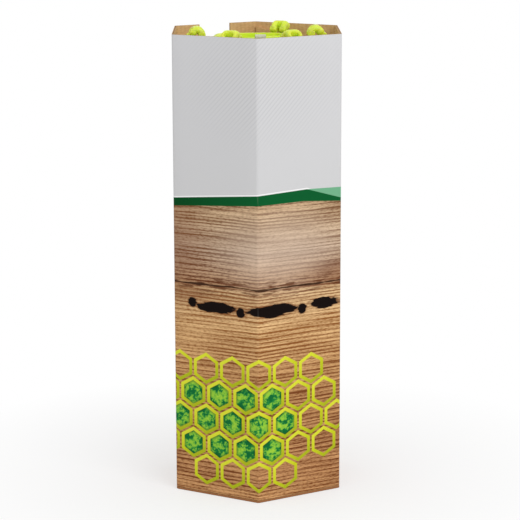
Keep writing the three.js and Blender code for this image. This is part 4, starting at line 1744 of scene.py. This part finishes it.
@dataclass
class GuardHalf:
    """One half of the lattice bird guard, bent round a barrel from a flat sheet of cells."""

    name: str
    node: str
    first_angle: float
    drops: tuple[float, float, float] = (0.0, 0.0, 0.0)
    columns: int = 12
    strap_columns: tuple[int, int, int] = (2, 6, 10)
    levels: int = 10
    guard_radius: float = 52.216
    neck_radius: float = 46.416
    rib_width: float = 3.76
    rib_thickness: float = 2.4
    # What the smoothing takes off a rib is added first
    plump: float = 1.09
    smoothing: int = 2
    rib_cuts: int = 3
    top_neck: float = 300.4
    bottom_neck: float = 11.2
    shoulder: float = 20.0
    open_gap: float = 5.0
    seam_split: float = 0.3
    lap_radius: float = 4.6
    lap_gap: float = 0.3
    lap_proud: float = 0.1
    stud_radius: float = 1.5
    stud_root: float = 0.5
    stud_proud: float = 0.6
    head_radius: float = 2.1
    head_height: float = 0.9
    head_proud: float = 0.3
    stud_levels: tuple[int, ...] = (2, 4, 6, 8)
    disc_rounding: float = 0.4
    disc_steps: int = 24

    @property
    def pitch(self) -> float:
        """The rise from one row of crossings to the next."""
        return (self.top_neck - self.bottom_neck - 2 * self.shoulder) / self.levels

    def row_height(self, row: int) -> float:
        """The height of a row of crossings."""
        return self.bottom_neck + self.shoulder + row * self.pitch

    def round_at(self, column: float, shift: float = 0.0) -> float:
        """How far round the flat sheet a column is."""
        return column * math.pi / self.columns * self.guard_radius + shift

    def radius_at(self, height: float) -> float:
        """Finds the radius of the ribs' middle, which is less near the necks.

        Args:
            height: The height over the base.

        Returns:
            The radius there.
        """
        from_neck = min(height - self.bottom_neck, self.top_neck - height)
        share = min(max(from_neck / (self.shoulder + self.pitch), 0), 1)
        outer = self.neck_radius + (self.guard_radius - self.neck_radius) * math.sin(share * math.pi / 2)
        return outer - self.rib_thickness / 2

    def crossing(self, column: int, row: int, side: int = 0) -> tuple[float, float]:
        """A crossing of the flat sheet.

        Args:
            column: Its column.
            row: Its row, under 0 or over the last one for a strap's neck.
            side: For a strap's column, the side of the bend, or 0 for its neck.

        Returns:
            How far round and how high it is.
        """
        if row < 0:
            return self.round_at(column), self.bottom_neck
        if row > self.levels:
            return self.round_at(column), self.top_neck - self.drops[self.strap_columns.index(column)]
        return self.round_at(column, side * self.open_gap), self.row_height(row)

    def flat_cells(self) -> list[list[tuple[float, float]]]:
        """The openings of the flat sheet, as loops of crossings.

        Returns:
            One loop for each opening, anticlockwise.
        """
        loops = []
        for strap in self.strap_columns:
            for side in (-1, 1):
                for row in range(0, self.levels + 1, 2):
                    low = self.crossing(strap if row == 0 else strap + side, row - 1)
                    high = self.crossing(strap if row == self.levels else strap + side, row + 1)
                    outer = self.crossing(strap + 2 * side, row)
                    inner = self.crossing(strap, row, side)
                    loops.append([low, outer, high, inner][:: side])
            right = [self.crossing(strap + row % 2, row, 1 - row % 2) for row in range(self.levels + 1)]
            left = [self.crossing(strap - row % 2, row, row % 2 - 1) for row in range(self.levels + 1)]
            low, high = self.crossing(strap, -1), self.crossing(strap, self.levels + 1)
            loops.append([low, *right, high, *left[::-1]])
        for column in range(4, self.columns, 4):
            for row in range(1, self.levels, 2):
                loops.append(
                    [
                        self.crossing(column, row - 1),
                        self.crossing(column + 1, row),
                        self.crossing(column, row + 1),
                        self.crossing(column - 1, row),
                    ]
                )
        return loops

    def sheet(self) -> BMesh:
        """Builds the flat lattice, with its ribs cut in short lengths.

        Returns:
            The flat sheet, with X round the guard and Y up it.
        """
        bm = bmesh.new()
        verts = {}
        for loop in self.flat_cells():
            corners = []
            for point in loop:
                key = (round(point[0], 2), round(point[1], 2))
                if key not in verts:
                    verts[key] = bm.verts.new((*point, 0))
                corners.append(verts[key])
            bm.faces.new(corners)

        def on_middle(vert: BMVert) -> bool:
            """Whether a vertex is on the middle line of the ribs."""
            return (round(vert.co.x, 2), round(vert.co.y, 2)) in verts

        half = self.rib_width * self.plump / 2
        self.widen_rim(bm, half)
        cells = [face for face in bm.faces if all(on_middle(vert) for vert in face.verts)]
        bmesh.ops.inset_individual(bm, faces=cells, thickness=half, use_even_offset=True)
        bmesh.ops.delete(bm, geom=cells, context="FACES_ONLY")
        along = [e for e in bm.edges if on_middle(e.verts[0]) == on_middle(e.verts[1])]
        bmesh.ops.subdivide_edges(bm, edges=along, cuts=self.rib_cuts, use_grid_fill=True)
        seams = ((self.seam_split / 2, -1), (self.round_at(self.columns) - self.seam_split / 2, 1))
        for place, direction in seams:
            bmesh.ops.bisect_plane(
                bm,
                geom=bm.verts[:] + bm.edges[:] + bm.faces[:],
                plane_co=(place, 0, 0),
                plane_no=(direction, 0, 0),
                clear_outer=True,
            )
        return bm

    def widen_rim(self, bm: BMesh, reach: float) -> None:
        """Adds the outer half of the ribs that run along the sheet's rim.

        Args:
            bm: The flat sheet, still without its openings.
            reach: Half the width of a rib.
        """
        rim = [edge for edge in bm.edges if edge.is_boundary]
        across = {}
        for edge in rim:
            start, end = (vert.co for vert in edge.verts)
            outward = Vector((end.y - start.y, start.x - end.x, 0)).normalized()
            from_cell = (start + end) / 2 - edge.link_faces[0].calc_center_median()
            if outward.dot(from_cell) < 0:
                outward.negate()
            for place in (start, end):
                across.setdefault(place.to_tuple(3), []).append(outward)
        made = bmesh.ops.extrude_edge_only(bm, edges=rim)
        for vert in (item for item in made["geom"] if isinstance(item, BMVert)):
            first, second = across[vert.co.to_tuple(3)]
            vert.co += (first + second) * reach / (1 + first.dot(second))

        def rank(point: Vector) -> float:
            """A number that rises with a point's height, and then with its place round the sheet."""
            return round(point.y, 3) * 1e6 + point.x

        # The extrusion leaves its parts in a chance order
        bm.verts.sort(key=lambda vert: rank(vert.co))
        bm.edges.sort(key=lambda edge: rank(edge.verts[0].co + edge.verts[1].co))
        bm.faces.sort(key=lambda face: rank(face.calc_center_median()))

    def build(self) -> None:
        """Builds the half with its straps, and its laps, studs and beads."""
        bm = self.sheet()
        for vert in bm.verts:
            angle = self.first_angle + math.degrees(vert.co.x / self.guard_radius)
            vert.co = polar(angle) * self.radius_at(vert.co.y) + Vector((0, 0, vert.co.y))
        straps = bmesh.new()
        small = bmesh.new()
        strap = Strap()
        for column, drop in zip(self.strap_columns, self.drops):
            angle = self.first_angle + column * 180 / self.columns
            for height, at_top in ((self.top_neck - drop, True), (self.bottom_neck, False)):
                place = strap.place(height, angle, at_top)
                strap.add_sheet(straps, place)
                strap.add_beads(small, place)
        self.mould(bm, self.name, self.rib_thickness, [self.node])
        self.mould(straps, self.name + "_straps", strap.thickness)
        self.add_snaps(small)
        snaps = make_object(small, self.name + "_snaps", [Look.GUARD.material])
        mark_sharp(snaps.data)
        settle(snaps, "guard")

    def mould(self, bm: BMesh, name: str, thickness: float, nodes: Iterable[str] = ()) -> None:
        """Makes a moulding with rounded edges from a sheet.

        Args:
            bm: The sheet.
            name: The moulding's name.
            thickness: Its thickness, half on each side of the sheet.
            nodes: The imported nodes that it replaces.
        """
        bmesh.ops.recalc_face_normals(bm, faces=bm.faces)
        moulding = make_object(bm, name, [Look.GUARD.material])
        give_wall(moulding, thickness * self.plump, 0)
        smooth = moulding.modifiers.new("rounded", "SUBSURF")
        smooth.levels = self.smoothing
        smooth.render_levels = self.smoothing
        settle(moulding, "guard", nodes)

    def add_snaps(self, bm: BMesh) -> None:
        """Adds the lap plates at both seams, and the studs at the last one.

        Args:
            bm: The bmesh of small solids.
        """
        outside = self.guard_radius
        inside = outside - self.rib_thickness
        middle = (outside + inside) / 2
        half_gap = self.lap_gap / 2
        head = outside + self.head_proud
        last = self.first_angle + 180
        discs = (
            (self.lap_radius, middle + half_gap, outside + self.lap_proud, self.first_angle),
            (self.lap_radius, inside, middle - half_gap, last),
            (self.stud_radius, middle - self.stud_root, outside + self.stud_proud, last),
            (self.head_radius, head, head + self.head_height, last),
        )
        lie = Matrix.Rotation(math.pi / 2, 4, "Y")
        for row in self.stud_levels:
            for radius, start, end, angle in discs:
                length = end - start
                rounding = min(self.disc_rounding, length / 3)
                shift = Matrix.Translation(((start + end) / 2, 0, self.row_height(row)))
                add_disc(bm, radius, length, rounding, self.disc_steps, turned(angle) @ shift @ lie)


# Studio


@dataclass
class Studio:
    """The camera, the lights, the pale floor and the white surround.

    The camera's place is in millimetres and its angles in radians. All else is in metres.
    """

    distance: float = 1308.5
    eye_height: float = 423.7
    eye_right: float = -10.5
    pitch: float = 0.206
    aim_right: float = 0.00205
    roll: float = 0.0026
    lens: float = 137.41
    sensor: float = 36.0
    key_place: tuple[float, float, float] = (1.3, -1.9, 1.7)
    key_power: float = 27.5
    fill_place: tuple[float, float, float] = (-1.9, -1.2, 1.2)
    fill_power: float = 2.75
    lamp_size: float = 1.6
    lamp_aim: tuple[float, float, float] = (0.0, 0.0, 0.17)
    sky: float = 0.65
    floor_reach: float = 4.0
    floor_drop: float = 0.0002
    # Where the floor's paint starts to fade and where it is white, and how white it is at least
    fade_start: float = 0.06
    fade_end: float = 0.26
    whiteness: float = 0.6

    def build(self) -> None:
        """Builds the whole studio."""
        self.camera()
        self.lights()
        self.surround()
        self.floor()
        bpy.context.scene.view_settings.view_transform = "Standard"

    def camera(self) -> None:
        """Places the camera where the photograph was taken from."""
        data = bpy.data.cameras.new("camera")
        data.sensor_width = self.sensor
        data.lens = self.lens
        camera = bpy.data.objects.new("camera", data)
        camera.location = Vector((self.eye_right, -self.distance, self.eye_height)) * MM
        to_axis = math.atan2(-self.eye_right, self.distance)
        camera.rotation_euler = (math.pi / 2 - self.pitch, self.roll, -(to_axis + self.aim_right))
        bpy.context.scene.collection.objects.link(camera)
        bpy.context.scene.camera = camera

    def lights(self) -> None:
        """Hangs one wide soft lamp at the front right, and a weaker one at the left."""
        lamps = (
            ("key_lamp", self.key_place, self.key_power),
            ("fill_lamp", self.fill_place, self.fill_power),
        )
        for name, place, power in lamps:
            data = bpy.data.lights.new(name, "AREA")
            data.size = self.lamp_size
            data.energy = power
            lamp = bpy.data.objects.new(name, data)
            lamp.location = place
            aim = Vector(self.lamp_aim) - lamp.location
            lamp.rotation_euler = aim.to_track_quat("-Z", "Y").to_euler()
            bpy.context.scene.collection.objects.link(lamp)

    def seen(self, tree: NodeTree) -> NodeSocket:
        """Makes a mask of what the eye sees straight, in a gloss or through glass.

        Args:
            tree: The node tree.

        Returns:
            The mask, which is 1 there and 0 elsewhere.
        """
        path = add(tree, "ShaderNodeLightPath").outputs
        mask = path["Is Camera Ray"]
        for ray in ("Is Glossy Ray", "Is Transmission Ray"):
            mask = add(tree, MATH, {0: mask, 1: path[ray]}, operation="MAXIMUM").outputs[0]
        return mask

    def surround(self) -> None:
        """A white surround that lights the object softly."""
        world = bpy.data.worlds.new("surround")
        bpy.context.scene.world = world
        tree = cleared_tree(world)
        sky = add(tree, "ShaderNodeBackground", {"Color": (1, 1, 1, 1), "Strength": self.sky})
        white = add(tree, "ShaderNodeBackground", {"Color": (1, 1, 1, 1), "Strength": 1.0})
        mixed = add(tree, "ShaderNodeMixShader", {0: self.seen(tree), 1: sky, 2: white})
        add(tree, "ShaderNodeOutputWorld", {"Surface": mixed})

    def floor(self) -> None:
        """A plain pale floor that keeps the object's soft shadow and fades to white."""
        bm = bmesh.new()
        bmesh.ops.create_grid(bm, x_segments=2, y_segments=2, size=self.floor_reach / MM)
        bmesh.ops.translate(bm, vec=(0, 0, -self.floor_drop / MM), verts=bm.verts)
        material = bpy.data.materials.new("painted_studio_floor")
        tree = cleared_tree(material)
        paint = add(tree, "ShaderNodeBsdfDiffuse", {"Color": linear("#FAFAFA")})
        white = add(tree, "ShaderNodeEmission", {"Color": (1, 1, 1, 1), "Strength": 1.0})
        place = add(tree, COORDS).outputs["Object"]
        away = add(tree, VECTOR, {0: place}, operation="LENGTH")
        # The paint shows round the object's foot, and it is white a quarter of a metre away
        fade = {"Value": away, 1: self.fade_start, 2: self.fade_end, 3: self.whiteness, 4: 1.0}
        fade = add(tree, RANGE, fade)
        share = add(tree, MATH, {0: fade, 1: self.seen(tree)}, operation="MULTIPLY")
        mixed = add(tree, "ShaderNodeMixShader", {0: share, 1: paint, 2: white})
        add(tree, "ShaderNodeOutputMaterial", {"Surface": mixed})
        make_object(bm, "studio_floor", [material], smooth=False)


def main() -> None:
    """Builds the studio and every piece in order."""
    logging.basicConfig(level=logging.INFO, format="%(name)s %(message)s")
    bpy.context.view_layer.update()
    Studio().build()
    Carton().build()
    board = {"across_flats": 50.0, "wall": 1.6, "corner_radius": 2.5, "bottom": 5.5, "top": 291.6}
    sheet = {"wall": 0.4, "corner_radius": 2.9, "bottom": 19.9, "top": 284.2}
    Wrap("tube", "stick_tube", Look.TUBE, "tube_board", **board).build()
    Wrap("film", "adhesive_film", Look.FILM, "adhesive_film", across_flats=51.4, **sheet).build()
    liner = Wrap("liner", "release_liner", Look.LINER, "release_paper", across_flats=52.8, **sheet)
    liner.seam_gap = 0.8
    liner.build()
    PullTab().build()
    Cap("upper_cap", "top_cap", skirt_edge=284.5, lip_edge=300.5, well_depth=7.0).build()
    Cap("lower_cap", "bottom_cap", skirt_edge=19.6, lip_edge=3.6).build()
    # The strap behind the thumb notch is pressed down
    GuardHalf("guard_rear", "guard_half_rear", first_angle=35.0, drops=(0.0, 8.0, 0.0)).build()
    GuardHalf("guard_front", "guard_half_front", first_angle=215.0).build()


if __name__ == "__main__":
    main()
